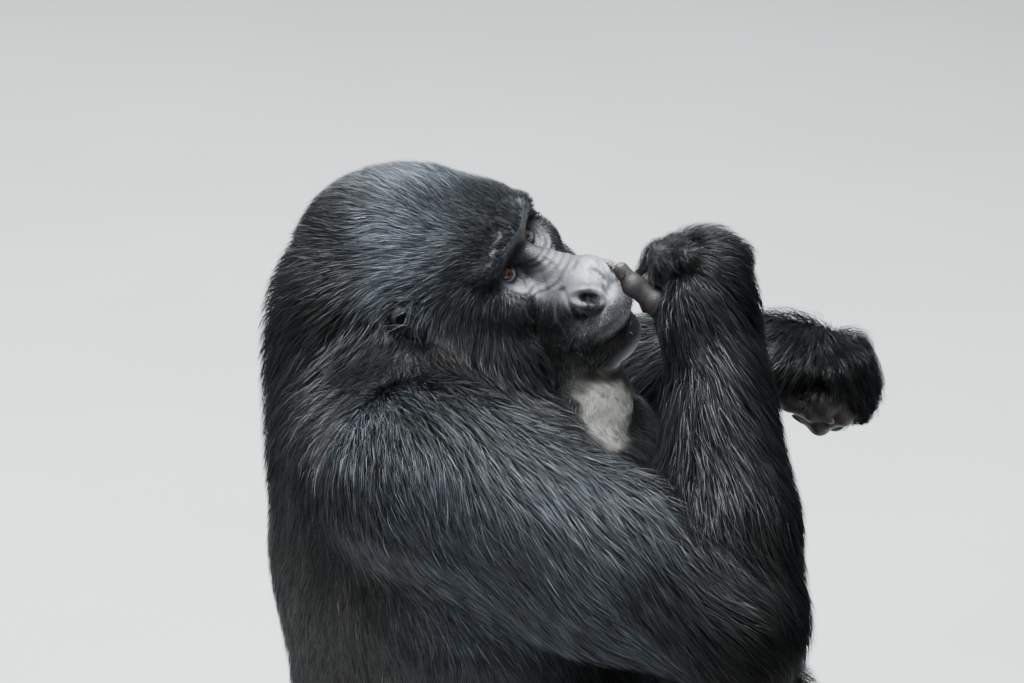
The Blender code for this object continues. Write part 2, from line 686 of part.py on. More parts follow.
def main():
    for obj in list(bpy.data.objects):
        bpy.data.objects.remove(obj)
    items, joint = gorilla_masses()
    body = melted_body(items)
    thin = body.modifiers.new("fewer facets", "DECIMATE")
    thin.ratio = BODY_TRIANGLES / (2 * len(body.data.vertices))
    apply_modifiers(body)
    subtract(body, cutter("floor cutter", box_shape((-2, -2, -1), (2, 2, 0))))
    nodes = part_into_nodes(body, joint)
    nodes.update(eyes_and_ears(nodes["head"]))

    coat = material("black coat", (0.020, 0.021, 0.024), 0.85)
    silver = material("silver saddle", (0.085, 0.083, 0.080), 0.85)
    hide = material("bare hide", (0.050, 0.045, 0.043), 0.55)
    iris = material("brown eye", (0.060, 0.022, 0.010), 0.08)
    for name, obj in nodes.items():
        kind = name.split("_")[0]
        look = {"abdomen": silver, "hand": hide, "foot": hide, "ear": hide, "eye": iris}.get(kind, coat)
        obj.data.materials.clear()
        obj.data.materials.append(look)
        for group in list(obj.users_collection):
            group.objects.unlink(obj)
        collection("gorilla").objects.link(obj)


if __name__ == "__main__":
    main()
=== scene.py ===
"""The look of the life-size gorilla: skin, face, eyes, nails, coat, floor, light and camera.

Metres, +Z up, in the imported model's own frame. The flesh is the same list of masses as the solids,
drawn in by the depth of the coat. The coat is mesh: thin tapered blades rooted on the skin.
"""
import math

import bmesh
import bpy
import numpy as np
from mathutils import Matrix, Vector
from mathutils.kdtree import KDTree


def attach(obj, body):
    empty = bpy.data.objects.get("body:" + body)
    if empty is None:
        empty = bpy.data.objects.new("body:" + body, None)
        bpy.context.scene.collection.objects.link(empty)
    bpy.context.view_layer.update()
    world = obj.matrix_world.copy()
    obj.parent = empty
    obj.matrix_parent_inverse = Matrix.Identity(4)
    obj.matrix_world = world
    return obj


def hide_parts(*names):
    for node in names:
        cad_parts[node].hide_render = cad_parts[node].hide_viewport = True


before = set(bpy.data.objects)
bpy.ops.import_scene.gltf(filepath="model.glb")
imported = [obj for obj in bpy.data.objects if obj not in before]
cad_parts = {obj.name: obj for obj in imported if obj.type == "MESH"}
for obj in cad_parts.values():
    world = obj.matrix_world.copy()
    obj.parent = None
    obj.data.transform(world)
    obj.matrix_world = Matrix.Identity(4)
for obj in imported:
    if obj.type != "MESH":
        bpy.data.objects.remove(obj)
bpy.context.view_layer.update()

# ---------------- driving dimensions (metres)
HUMERUS = 0.374
FOREARM = 0.370
FEMUR = 0.370
SHANK = 0.300
SHOULDER_HEIGHT = 0.748
SHOULDER_HALF_WIDTH = 0.245
SHOULDER_BACK = -0.030
HIP_HEIGHT = 0.190
HIP_HALF_WIDTH = 0.135
ANKLE_HEIGHT = 0.075
EYE_HEIGHT = 0.920
EYE_FORWARD = 0.065
EYE_RADIUS = 0.0125
EYE_HALF_SPACING = 0.0345
EYE_DEPTH = -0.7  # centimetres, behind the middle of the head view
HEAD_YAW = -25.0
HEAD_PITCH = 20.0
HEAD_ROLL = 20.0
CM = 0.01

SKIN_VOXEL = 0.0065
FARTHEST_MOVE = 0.02  # that a point is moved towards the skin in one go
SEED = 7


# ---------------- small vector helpers
def unit(v):
    v = np.asarray(v, float)
    return v / np.linalg.norm(v)


def norms(rows):
    return np.linalg.norm(rows, axis=1)


def units(rows):
    return rows / np.maximum(norms(rows)[:, None], 1e-9)


def heading(azimuth, elevation):
    """A unit vector: azimuth in degrees from +X towards +Y, elevation above the horizon."""
    a, e = math.radians(azimuth), math.radians(elevation)
    return np.array([math.cos(a) * math.cos(e), math.sin(a) * math.cos(e), math.sin(e)])


def rotation(yaw, pitch, roll):
    """Columns are forward, left and up after a roll about forward, a pitch up and a yaw to the left."""
    turn = Matrix.Rotation(math.radians(yaw), 3, "Z")
    lift = Matrix.Rotation(math.radians(-pitch), 3, "Y")
    tilt = Matrix.Rotation(math.radians(roll), 3, "X")
    return np.array(turn @ lift @ tilt)


def ramp(values, low, high):
    """Smoothly 0 at low and 1 at high."""
    t = np.clip((values - low) / (high - low), 0.0, 1.0)
    return t * t * (3.0 - 2.0 * t)


def bell(away, width, power=2):
    """1 where away is 0, falling to 1/e at width: the higher the power, the harder the edge."""
    return np.exp(-(away / width) ** power)


def to_segment(points, start, end):
    """How far along a segment each point lies, from 0 to 1, and its distance from the segment."""
    axis = end - start
    along = np.clip((points - start) @ axis / (axis @ axis), 0.0, 1.0)
    return along, norms(points - start - along[:, None] * axis)


# ---------------- flesh masses
class Masses:
    """The list of masses. Each has its place, its coat depth and the width of its blend."""

    def __init__(self):
        self.items = []

    def ellipsoid(self, centre, radii, axes=np.eye(3), blend=0.03, coat=0.02, kind="ellipsoid"):
        self.items.append((kind, np.asarray(centre, float), np.asarray(radii, float), axes, blend, coat))

    def hollow(self, centre, radii, axes=np.eye(3), blend=0.01):
        """A dent pressed into the masses listed before it."""
        self.ellipsoid(centre, radii, axes, blend, 0.0, "hollow")

    def limb(self, start, end, start_radius, end_radius, blend=0.03, coat=0.02):
        ends = (np.asarray(start, float), np.asarray(end, float))
        self.items.append(("limb", ends, (start_radius, end_radius), None, blend, coat))


def distance(item, points, inset):
    """Signed distance, near enough, from each point to one mass made smaller by inset times its coat."""
    kind, place, size, axes, _, coat = item
    if kind != "limb":
        radii = np.maximum(size - inset * coat, 0.002)
        local = (points - place) @ axes
        scaled = norms(local / radii)
        slope = norms(local / radii**2)
        return scaled * (scaled - 1.0) / np.maximum(slope, 1e-9)
    along, away = to_segment(points, *place)
    return away - (size[0] + along * (size[1] - size[0]) - inset * coat)


def reach(item):
    """The corners of a box round a mass, with room for its blend."""
    kind, place, size, _, blend, _ = item
    margin = blend + 0.035
    if kind != "limb":
        return place - size.max() - margin, place + size.max() + margin
    start, end = place
    margin += max(size)
    return np.minimum(start, end) - margin, np.maximum(start, end) + margin


def field(items, points, inset=1.0):
    """The masses joined with rounded creases: the skin at inset 1, the outside of the coat at 0."""
    total = np.ones(len(points))
    for item in items:
        low, high = reach(item)
        near = np.flatnonzero(((points > low) & (points < high)).all(axis=1))
        if not len(near):
            continue
        old, blend = total[near], item[4]
        new = distance(item, points[near], inset)
        if item[0] == "hollow":
            mix = np.clip(0.5 - 0.5 * (old + new) / blend, 0.0, 1.0)
            total[near] = old * (1 - mix) - new * mix + blend * mix * (1 - mix)
        else:
            mix = np.clip(0.5 + 0.5 * (old - new) / blend, 0.0, 1.0)
            total[near] = old * (1 - mix) + new * mix - blend * mix * (1 - mix)
    return total


def field_slope(items, points, step, least):
    """The skin's field, its slope, and the slope's length squared, which is never under least."""
    value = field(items, points)
    slope = np.stack([field(items, points + step * axis) - value for axis in np.eye(3)], axis=1) / step
    return value, slope, np.maximum((slope**2).sum(axis=1), least)


# ---------------- the animal
HEAD_AXES = rotation(HEAD_YAW, HEAD_PITCH, HEAD_ROLL)
HEAD_ORIGIN = np.array([EYE_FORWARD, 0.0, EYE_HEIGHT])
EAR_PLACE = np.array([-9.7, 10.6, 0.8])
HAND_ALONG = {"r": (0.06, 0.20, 0.97), "l": (0.80, -0.55, 0.12)}
HAND_PALM = {"r": (-0.62, 0.78, 0.0), "l": (-0.35, 0.35, -0.85)}


def on_head(forward, left, up):
    """A point given in centimetres from midway between the eyes, in the head's own axes."""
    return HEAD_ORIGIN + HEAD_AXES @ (np.array([forward, left, up]) * CM)


def head_view(points):
    """Points in centimetres in the head's own axes: forward, left, up."""
    return (points - HEAD_ORIGIN) @ HEAD_AXES / CM


def skeleton():
    """Joint centres of the pose, from bone lengths and headings."""
    joint = {}
    for side, sign in (("r", -1), ("l", 1)):
        joint["shoulder_" + side] = np.array([SHOULDER_BACK, sign * SHOULDER_HALF_WIDTH, SHOULDER_HEIGHT])
        joint["hip_" + side] = np.array([0.01, sign * HIP_HALF_WIDTH, HIP_HEIGHT])
    joint["elbow_r"] = joint["shoulder_r"] + HUMERUS * heading(-9, -24)
    joint["wrist_r"] = joint["elbow_r"] + 0.90 * FOREARM * heading(100.5, 59)
    joint["elbow_l"] = joint["shoulder_l"] + HUMERUS * heading(56.8, -29)
    joint["wrist_l"] = joint["elbow_l"] + 0.88 * FOREARM * heading(-38.8, 20.5)
    joint["knee_r"] = joint["hip_r"] + FEMUR * heading(-36, 17)
    joint["knee_l"] = joint["hip_l"] + FEMUR * heading(38, 20)
    joint["ankle_r"] = joint["knee_r"] + SHANK * heading(28, -46)
    joint["ankle_l"] = joint["knee_l"] + SHANK * heading(-30, -50)
    for side in "rl":
        joint["ankle_" + side][2] = ANKLE_HEIGHT
    return joint


def trunk(m):
    m.ellipsoid((-0.015, 0, 0.170), (0.245, 0.285, 0.205), blend=0.05, coat=0.025)  # rump
    m.ellipsoid((0.070, 0, 0.360), (0.265, 0.290, 0.250), blend=0.10, coat=0.020)  # belly
    m.ellipsoid((-0.005, 0, 0.580), (0.218, 0.275, 0.238), blend=0.08, coat=0.016)  # chest
    m.ellipsoid((-0.063, 0, 0.707), (0.157, 0.262, 0.137), blend=0.04, coat=0.018)  # shoulder hump
    m.ellipsoid((-0.120, 0.035, 0.812), (0.106, 0.102, 0.140), blend=0.04, coat=0.020)  # nape
    m.ellipsoid((0.122, 0.030, 0.650), (0.118, 0.170, 0.120), blend=0.04, coat=0.012)  # breast
    m.ellipsoid((0.140, 0.000, 0.745), (0.056, 0.062, 0.064), blend=0.012, coat=0.0)  # bare fold


def skull(m):
    """The back and top of the head, and the wide cheeks and jaws that frame the face."""
    a = HEAD_AXES
    m.ellipsoid(on_head(-11, 0, 2.0), (0.125, 0.105, 0.098), a, blend=0.03, coat=0.014)  # braincase
    m.ellipsoid(on_head(-13, 0, 5.5), (0.120, 0.072, 0.092), a, blend=0.03, coat=0.014)  # crest
    m.ellipsoid(on_head(-3.4, 0, 3.6), (0.058, 0.076, 0.052), a, blend=0.02, coat=0.007)  # forehead
    m.ellipsoid(on_head(-2, 0, -12.0), (0.080, 0.062, 0.060), a, blend=0.03, coat=0.010)  # throat
    for s in (-1, 1):
        m.ellipsoid(on_head(-3.8, 6.2 * s, -2.8), (0.056, 0.036, 0.058), a, 0.025, 0.008)  # cheekbone
        m.ellipsoid(on_head(-5.5, 8.0 * s, -9.0), (0.070, 0.050, 0.076), a, 0.02, 0.014)  # jowl


def lid_opening_way(sign):
    """The way that the slit between the lids faces: ahead, outwards and a little up."""
    return unit((1.0, 0.14 * sign, 0.14))


def face(m):
    """The bare face: brow bar, sunken eyes with lids, broad nose pad, folds and the two lips."""
    a = HEAD_AXES
    m.ellipsoid(on_head(2.2, 0, -7.8), (0.058, 0.055, 0.064), a, blend=0.02, coat=0.002)  # muzzle
    m.ellipsoid(on_head(5.2, 0, -9.3), (0.048, 0.054, 0.029), a, blend=0.012, coat=0.001)  # upper lip
    m.ellipsoid(on_head(4.6, 0, -13.2), (0.048, 0.046, 0.030), a, blend=0.011, coat=0.002)  # chin
    for s in (-1, 1):
        m.ellipsoid(on_head(-0.6, 5.0 * s, -2.8), (0.026, 0.030, 0.024), a, 0.015, 0.001)  # below the eye
        m.hollow(on_head(2.3, 3.6 * s, 0.2), (0.028, 0.020, 0.019), a, 0.008)  # eye hollow
    m.limb(on_head(0.6, 0, 0.4), on_head(4.6, 0, -3.9), 0.0125, 0.0200, 0.012, 0.0)  # bridge
    m.ellipsoid(on_head(5.6, 0, -5.6), (0.031, 0.036, 0.025), a, 0.008, 0.0)  # nose pad
    for s in (-1, 1):
        m.limb(on_head(0.4, 0, 3.3), on_head(-0.4, 6.3 * s, 2.6), 0.0170, 0.0160, 0.014, 0.004)  # brow
        m.ellipsoid(on_head(EYE_DEPTH, 3.45 * s, 0), (0.0150, 0.0158, 0.0150), a, 0.005, 0.0)  # lids
        ahead = lid_opening_way(s)
        slit = unit(np.cross((0, 0, 1), ahead))
        turned = a @ np.stack([ahead, slit, np.cross(ahead, slit)], axis=1)
        slit_place = on_head(EYE_DEPTH, 3.45 * s, 0) + turned @ (0.0150, 0, 0)
        m.hollow(slit_place, (0.0100, 0.0128, 0.0074), turned, 0.0012)
        m.ellipsoid(on_head(6.2, 1.5 * s, -4.6), (0.019, 0.017, 0.014), a, 0.006, 0.0)  # nose lobe
        m.ellipsoid(on_head(6.4, 2.4 * s, -6.4), (0.021, 0.018, 0.018), a, 0.006, 0.0)  # nose wing
    m.hollow(on_head(8.5, 0, -4.6), (0.010, 0.0030, 0.013), a, 0.006)  # groove of the nose


def ear_axes(sign):
    """Columns of an ear's own axes: along its width, out of its face, and up."""
    out = HEAD_AXES @ unit((0.40, sign * 0.90, 0.0))
    side = unit(np.cross(out, HEAD_AXES @ unit((-0.42, 0.0, 0.91))))
    return np.stack([side, out, np.cross(side, out)], axis=1)


def ears(m):
    """Small ears close to the head: a raised rim, the hollow of the bowl and a fold inside it."""
    for s in (-1, 1):
        axes, centre = ear_axes(s), on_head(*EAR_PLACE * (1, s, 1))
        m.ellipsoid(centre - axes[:, 1] * 0.003, (0.0170, 0.0105, 0.0250), axes, 0.003, 0.0)
        m.hollow(centre + axes @ (0.001, 0.0075, 0.000), (0.0120, 0.0110, 0.0200), axes, 0.002)
        m.limb(centre + axes @ (-0.004, -0.001, 0.012), centre + axes @ (-0.006, -0.002, -0.010),
               0.0028, 0.0024, 0.002, 0.0)


def head(m):
    m.limb(on_head(-9, 0, -2), np.array([-0.07, 0.01, 0.74]), 0.084, 0.118, 0.03, 0.018)  # neck
    skull(m)
    face(m)
    ears(m)


def arm(m, joint, side):
    shoulder, elbow, wrist = (joint[n + "_" + side] for n in ("shoulder", "elbow", "wrist"))
    middle = shoulder * 0.45 + elbow * 0.55
    m.limb(shoulder, middle, 0.116, 0.105, 0.05, 0.020)
    m.limb(middle, elbow, 0.105, 0.076, 0.03, 0.022)
    bulge = elbow * 0.65 + wrist * 0.35
    m.limb(elbow, bulge, 0.076, 0.078, 0.02, 0.024)
    m.limb(bulge, wrist, 0.078, 0.060, 0.02, 0.023)


def leg(m, joint, side):
    hip, knee, ankle = (joint[n + "_" + side] for n in ("hip", "knee", "ankle"))
    m.limb(hip, knee, 0.150, 0.100, 0.05, 0.024)
    calf = knee * 0.6 + ankle * 0.4
    m.limb(knee, calf, 0.095, 0.085, 0.03, 0.024)
    m.limb(calf, ankle, 0.085, 0.055, 0.02, 0.016)


FINGER_BONES = (0.054, 0.038, 0.027)
FINGER_RADII = (0.0165, 0.0150, 0.0135, 0.0105)
FINGER_SIZES = (1.0, 1.08, 1.02, 0.84)
THUMB_BONES = (0.040, 0.030, 0.022)
THUMB_RADII = (0.0190, 0.0140, 0.0120, 0.0090)
PALM_LENGTH = 0.085
FINGER_PITCH = 0.0260
DOWN = np.array([0, 0, -1.0])
AHEAD = np.array([1.0, 0, 0])
digits = []  # every finger, thumb and toe: its tip, its direction, its back and its radius
bare_spots = []  # centres and radii of hairless places on hands and feet


def chain(m, start, steps, radii, coats, back):
    """Bones end to end, each step a vector. back points out of the nail."""
    for step, r0, r1, coat in zip(steps, radii, radii[1:], coats):
        m.limb(start, start + step, r0, r1, 0.005, coat)
        m.ellipsoid(start, np.full(3, r0 * 1.06), blend=0.004, coat=coat)  # knuckle
        start = start + step
    digits.append((start, unit(steps[-1]), back, radii[-1]))


def curl(lengths, direction, towards, angles):
    """Steps of a digit. Each angle, in degrees, bends it further from direction to towards."""
    bends = np.radians(np.cumsum(angles))
    return [n * (direction * math.cos(b) + towards * math.sin(b)) for n, b in zip(lengths, bends)]


def hand(m, wrist, along, palm, side, curls, thumb):
    """along points to the knuckles and palm out of the palm. thumb is each bone's way in hand axes."""
    along = unit(along)
    palm = unit(palm - along * (along @ palm))
    across = np.cross(palm, along) * (-1 if side == "r" else 1)  # towards the thumb
    axes = np.stack([along, across, palm], axis=1)
    m.ellipsoid(wrist + along * PALM_LENGTH * 0.50, (0.062, 0.050, 0.030), axes, 0.015, 0.005)
    m.ellipsoid(wrist + axes @ (0.022, 0, -0.012), (0.072, 0.056, 0.040), axes, 0.015, 0.020)  # furry back
    m.ellipsoid(wrist + axes @ (0.076, 0, 0.020), (0.038, 0.054, 0.044), axes, 0.012, 0.014)  # knuckles
    m.ellipsoid(wrist + axes @ (0.012, 0.040, -0.002), (0.056, 0.036, 0.034), axes, 0.015, 0.016)  # heel
    m.ellipsoid(wrist + axes @ (0.069, 0.043, 0.036), (0.030, 0.026, 0.028), axes, 0.008, 0.009)  # folds
    bend = math.radians(sum(curls))
    back = along * math.sin(bend) - palm * math.cos(bend)
    for k, size in enumerate(FINGER_SIZES):
        start = wrist + along * (PALM_LENGTH - 0.006 * abs(k - 1)) + across * FINGER_PITCH * (1.5 - k)
        steps = curl([n * size for n in FINGER_BONES], along, palm, curls)
        chain(m, start, steps, FINGER_RADII, (0.0060, 0.0050, 0.001), back)
        bare_spots.append((start + steps[0] + steps[1] + 0.7 * steps[2], 0.024))
    base = wrist + axes @ (-0.004, 0.034, 0.014)
    steps = [n * (axes @ unit(way)) for n, way in zip(THUMB_BONES, thumb)]
    chain(m, base, steps, THUMB_RADII, (0.003, 0.001, 0.001), across)
    bare_spots.extend([(base + 1.2 * steps[0], 0.022), (base + sum(steps), 0.034),
                       (wrist + axes @ (0.050, 0.010, 0.040), 0.036),
                       (wrist + axes @ (0.020, 0.022, 0.038), 0.028)])


def foot(m, ankle, toe_azimuth, side):
    """A flat foot on the floor under its ankle, with a big toe set apart as a thumb is."""
    sign = -1 if side == "r" else 1
    ahead = heading(toe_azimuth, 0)
    inner = -sign * np.array([-ahead[1], ahead[0], 0.0])
    ground = np.array([ankle[0], ankle[1], 0.0])
    heel = ground - ahead * 0.045
    axes = np.stack([ahead, inner, np.array([0, 0, 1.0])], axis=1)
    m.limb(ankle, heel + (0, 0, 0.038), 0.052, 0.046, 0.02, 0.008)
    m.ellipsoid(ground + ahead * 0.065 + (0, 0, 0.026), (0.125, 0.050, 0.040), axes, 0.02, 0.003)
    ball = ground + ahead * 0.135
    for k in range(4):
        start = ball + inner * (0.033 - 0.025 * k) - ahead * 0.007 * k + (0, 0, 0.022)
        steps = curl((0.040 - 0.003 * k, 0.028, 0.020), ahead, DOWN, (-4, 10, 10))
        chain(m, start, steps, (0.0170, 0.0150, 0.0140, 0.0125), (0.003, 0.001, 0.001), -DOWN)
        bare_spots.append((start + steps[0] + steps[1], 0.034))
    start = ground + ahead * 0.045 + inner * 0.036 + (0, 0, 0.024)
    steps = curl((0.055, 0.036, 0.026), unit(ahead + inner * 0.75), DOWN, (0, 6, 8))
    chain(m, start, steps, (0.0210, 0.0185, 0.0175, 0.0145), (0.002, 0.001, 0.001), -DOWN)
    bare_spots.append((start + steps[0] + steps[1], 0.045))


def gorilla_masses():
    m, joint = Masses(), skeleton()
    trunk(m)
    head(m)
    for side in "rl":
        arm(m, joint, side)
        leg(m, joint, side)
    hand(m, joint["wrist_r"], HAND_ALONG["r"], HAND_PALM["r"], "r", (92, 62, 55),
         ((0.72, 0.50, 0.42), (0.55, 0.62, 0.50), (0.75, 0.45, 0.40)))
    hand(m, joint["wrist_l"], HAND_ALONG["l"], HAND_PALM["l"], "l", (80, 80, 50),
         ((0.75, 0.45, 0.45), (0.90, -0.05, 0.40), (0.90, -0.3, 0.30)))
    foot(m, joint["ankle_r"], -14, "r")
    foot(m, joint["ankle_l"], 16, "l")
    return m.items, joint


# ---------------- reading and changing meshes
def read(members, name, width, kind=float):
    """One property of every member of a mesh's collection, as rows."""
    values = np.empty(len(members) * width, kind)
    members.foreach_get(name, values)
    return values.reshape(-1, width)


def vertex_points(mesh):
    return read(mesh.vertices, "co", 3)


def vertex_normals(mesh):
    return read(mesh.vertex_normals, "vector", 3)


def triangles_of(mesh):
    mesh.calc_loop_triangles()
    return read(mesh.loop_triangles, "vertices", 3, np.int64)


def mesh_edges(mesh):
    """The two ends of every edge, and how many edges meet at each corner."""
    edges = read(mesh.edges, "vertices", 2, np.int64)
    return edges.T, np.bincount(edges.ravel(), minlength=len(mesh.vertices))[:, None]


def move_vertices(mesh, points):
    mesh.vertices.foreach_set("co", points.ravel())
    mesh.update()


def new_mesh(name, build):
    """A mesh filled by a function that builds in a bmesh."""
    bm = bmesh.new()
    build(bm)
    mesh = bpy.data.meshes.new(name)
    bm.to_mesh(mesh)
    bm.free()
    return mesh


def change_mesh(mesh, change):
    """Takes a mesh through a function that changes it as a bmesh."""
    bm = bmesh.new()
    bm.from_mesh(mesh)
    change(bm)
    bm.to_mesh(mesh)
    bm.free()


def smooth_object(name, mesh, material):
    mesh.shade_smooth()
    mesh.materials.append(material)
    return bpy.data.objects.new(name, mesh)


# ---------------- the skin
def primitive_mesh(items, swell):
    """Every mass as a plain sphere or a string of spheres, overlapping, as the start of the skin."""
    sphere = new_mesh(
        "sphere", lambda bm: bmesh.ops.create_uvsphere(bm, u_segments=20, v_segments=14, radius=1))

    def add(bm, matrix):
        copy = sphere.copy()
        copy.transform(matrix)
        bm.from_mesh(copy)
        bpy.data.meshes.remove(copy)

    def build(bm):
        for kind, place, size, axes, _, coat in items:
            if kind == "ellipsoid":
                shape = Matrix(axes.tolist()).to_4x4() @ Matrix.Diagonal([*(size - coat + swell), 1.0])
                add(bm, Matrix.Translation(place) @ shape)
            elif kind == "limb":
                (start, end), (r0, r1) = place, size
                count = 2 + int(np.linalg.norm(end - start) / (0.4 * min(size)))
                for t in np.linspace(0, 1, count):
                    radius = r0 + t * (r1 - r0) - coat + swell
                    add(bm, Matrix.Translation(start + t * (end - start)) @ Matrix.Scale(radius, 4))

    return new_mesh("masses", build)


def eased(values, ends, valence):
    """Each corner's value moved halfway to the mean of its neighbours'."""
    (a, b), count = ends, len(values)
    total = np.stack([np.bincount(a, values[b, k], count) + np.bincount(b, values[a, k], count)
                      for k in range(3)], axis=1)
    return values * 0.5 + 0.5 * total / valence


def fit_to_field(mesh, items, rounds, within=None):
    """Moves vertices onto the melted surface, easing the mesh between moves. within limits which."""
    points = vertex_points(mesh)
    ends, valence = mesh_edges(mesh)
    chosen = np.arange(len(points)) if within is None else np.flatnonzero(within(points))
    for turn in range(rounds):
        here = points[chosen]
        value, slope, size = field_slope(items, here, step=0.0004, least=0.25)
        points[chosen] = here - np.clip(value / size, -FARTHEST_MOVE, FARTHEST_MOVE)[:, None] * slope
        if turn < rounds - 1:
            points[chosen] = eased(points, ends, valence)[chosen]
    move_vertices(mesh, points)


def refine(mesh, within):
    """Halves the facets whose corners are all within a place."""
    inside = within(vertex_points(mesh))

    def halve(bm):
        faces = [f for f in bm.faces if all(inside[v.index] for v in f.verts)]
        edges = list({e for f in faces for e in f.edges})
        bmesh.ops.subdivide_edges(bm, edges=edges, cuts=1, use_grid_fill=True)

    change_mesh(mesh, halve)


def near_any(spots):
    """A test for points within any of a list of balls."""
    def test(points):
        found = np.zeros(len(points), bool)
        for centre, radius in spots:
            found |= ((points - centre) ** 2).sum(axis=1) < radius**2
        return found
    return test


def skin_mesh(items):
    """The masses melted into one skin, with smaller and smaller facets towards the eyes and nostrils."""
    body = bpy.data.objects.new("skin", primitive_mesh(items, swell=0.002))
    bpy.context.scene.collection.objects.link(body)
    remesh = body.modifiers.new("melt", "REMESH")
    remesh.mode = "VOXEL"
    remesh.voxel_size = SKIN_VOXEL
    graph = bpy.context.evaluated_depsgraph_get()
    mesh = bpy.data.meshes.new_from_object(body.evaluated_get(graph))
    body.modifiers.clear()
    body.data = mesh
    fit_to_field(mesh, items, rounds=5)
    face_ball = [(on_head(1.5, 0, -5.5), 0.135)]
    front_ball = [(on_head(3.5, 0, -4.5), 0.115)]
    bare_balls = [(spot, radius + 0.012) for spot, radius in bare_spots]
    ear_balls = [(on_head(*EAR_PLACE * (1, s, 1)), 0.045) for s in (-1, 1)]
    small_balls = [(on_head(0.8, 3.45 * s, 0), 0.024) for s in (-1, 1)]
    small_balls += [(on_head(*NOSTRIL * (1, s, 1)), 0.024) for s in (-1, 1)]
    coarse_balls = face_ball + bare_balls + ear_balls
    for halved, fitted in ((coarse_balls, coarse_balls), (front_ball + ear_balls, face_ball + ear_balls),
                           (small_balls, small_balls)):
        refine(mesh, near_any(halved))
        fit_to_field(mesh, items, 3, near_any(fitted))
    return body


def bone_distances(points, bones):
    """The distance in metres from each point to the surface of each bone, one column a bone."""
    return np.stack([to_segment(points, start, end)[1] - radius for start, end, radius in bones], axis=1)


# ---------------- folds of the bare face
BROW_FURROWS = (((3.1, 0.5, 3.4), (3.2, 0.4, 1.0)), ((3.1, -0.5, 3.4), (3.2, -0.4, 1.0)))
WING_CREASE = ((5.1, 3.2, -3.9), (5.4, 4.3, -5.6), (5.6, 4.4, -7.0), (7.2, 3.4, -8.0), (8.6, 1.5, -8.0))
CHEEK_CREASE = ((3.0, 2.4, -1.6), (3.4, 3.6, -3.2), (2.2, 5.4, -5.4), (1.8, 5.8, -7.6))
NOSTRIL = np.array((7.8, 3.15, -5.65))
NOSTRIL_LONG, NOSTRIL_SHORT = np.array((1.82, -2.32, -1.29)), np.array((-0.25, 0.86, -1.07))
BROW_PATCH = ((1.4, 2.4, 4.4), (1.1, 4.0, 4.1), (0.7, 5.0, 3.8))
MOUTH_LINE = ((3.2, 5.3, -12.0), (5.6, 4.6, -11.6), (8.0, 2.6, -11.5), (8.7, 0.0, -11.6))
NOSE_BRIDGE = ((3.8, 0, -2.2), (5.4, 0, -3.6))
BELOW_EYE = ((1.4, 5.0, -1.9), (2.2, 4.8, -3.6))
EYE_TO_EYE = ((1.4, 0, 0.8), (2.2, 1.4, -0.6))


def near_line(points, line):
    """Distance in centimetres from points in head view to a bent line."""
    best = np.full(len(points), 99.0)
    for start, end in zip(line, line[1:]):
        best = np.minimum(best, to_segment(points, np.array(start), np.array(end))[1])
    return best


def mirrored(view, sign):
    return view * (1.0, sign, 1.0)


def nostril_ring(side):
    """0 at the middle of a nostril, 1 at its edge and more outside."""
    away = side - NOSTRIL
    along, across = away @ unit(NOSTRIL_LONG) / 1.40, away @ unit(NOSTRIL_SHORT) / 0.72
    out = away @ unit(np.cross(NOSTRIL_LONG, NOSTRIL_SHORT)) / 1.8
    return np.sqrt(along**2 + across**2 + out**2)


def face_relief(points):
    """Millimetres to raise the skin of the face: creases, pouches and wrinkles."""
    view = head_view(points)
    raised = np.zeros(len(points))
    for line in BROW_FURROWS:
        raised -= 1.6 * bell(near_line(view, line), 0.28)
    for sign in (-1, 1):
        side = mirrored(view, sign)
        raised -= 3.0 * bell(near_line(side, WING_CREASE), 0.34)
        raised -= 1.8 * bell(near_line(side, CHEEK_CREASE), 0.38)
        raised -= 1.0 * bell(near_line(side, MOUTH_LINE), 0.20)
        raised += 0.5 * bell(near_line(side, MOUTH_LINE) - 0.62, 0.30)
        ring = nostril_ring(side)
        raised += 1.2 * bell(ring - 1.45, 0.35) - 7.5 * bell(ring, 0.85, 4)
        away = np.hypot(side[:, 1] - 3.5, side[:, 2] - 0.1)
        below = ramp(-side[:, 2], -0.2, 1.0) * ramp(side[:, 0], -2.0, 0.0)
        pouch = ramp(away, 1.55, 1.8) * (1 - ramp(away, 3.0, 3.9)) * below
        raised += 0.55 * pouch * np.cos(2 * math.pi * away / 0.62)
        over = ramp(side[:, 2], 2.2, 3.2) * (1 - ramp(side[:, 2], 4.5, 5.5)) * ramp(side[:, 0], -2.5, -0.5)
        raised += 0.12 * over * np.cos(2 * math.pi * side[:, 2] / 0.55)
    bridge = (1 - ramp(np.abs(view[:, 1]), 1.0, 2.4)) * ramp(view[:, 0], 1.0, 2.5)
    bridge *= ramp(-view[:, 2], -0.2, 0.6) * (1 - ramp(-view[:, 2], 3.0, 4.0))
    raised += 0.40 * bridge * np.cos(2 * math.pi * (view[:, 2] + 0.12 * view[:, 1] ** 2) / 0.52)
    return raised / 1000.0


def add_relief(mesh):
    points = vertex_points(mesh)
    move_vertices(mesh, points + vertex_normals(mesh) * face_relief(points)[:, None])


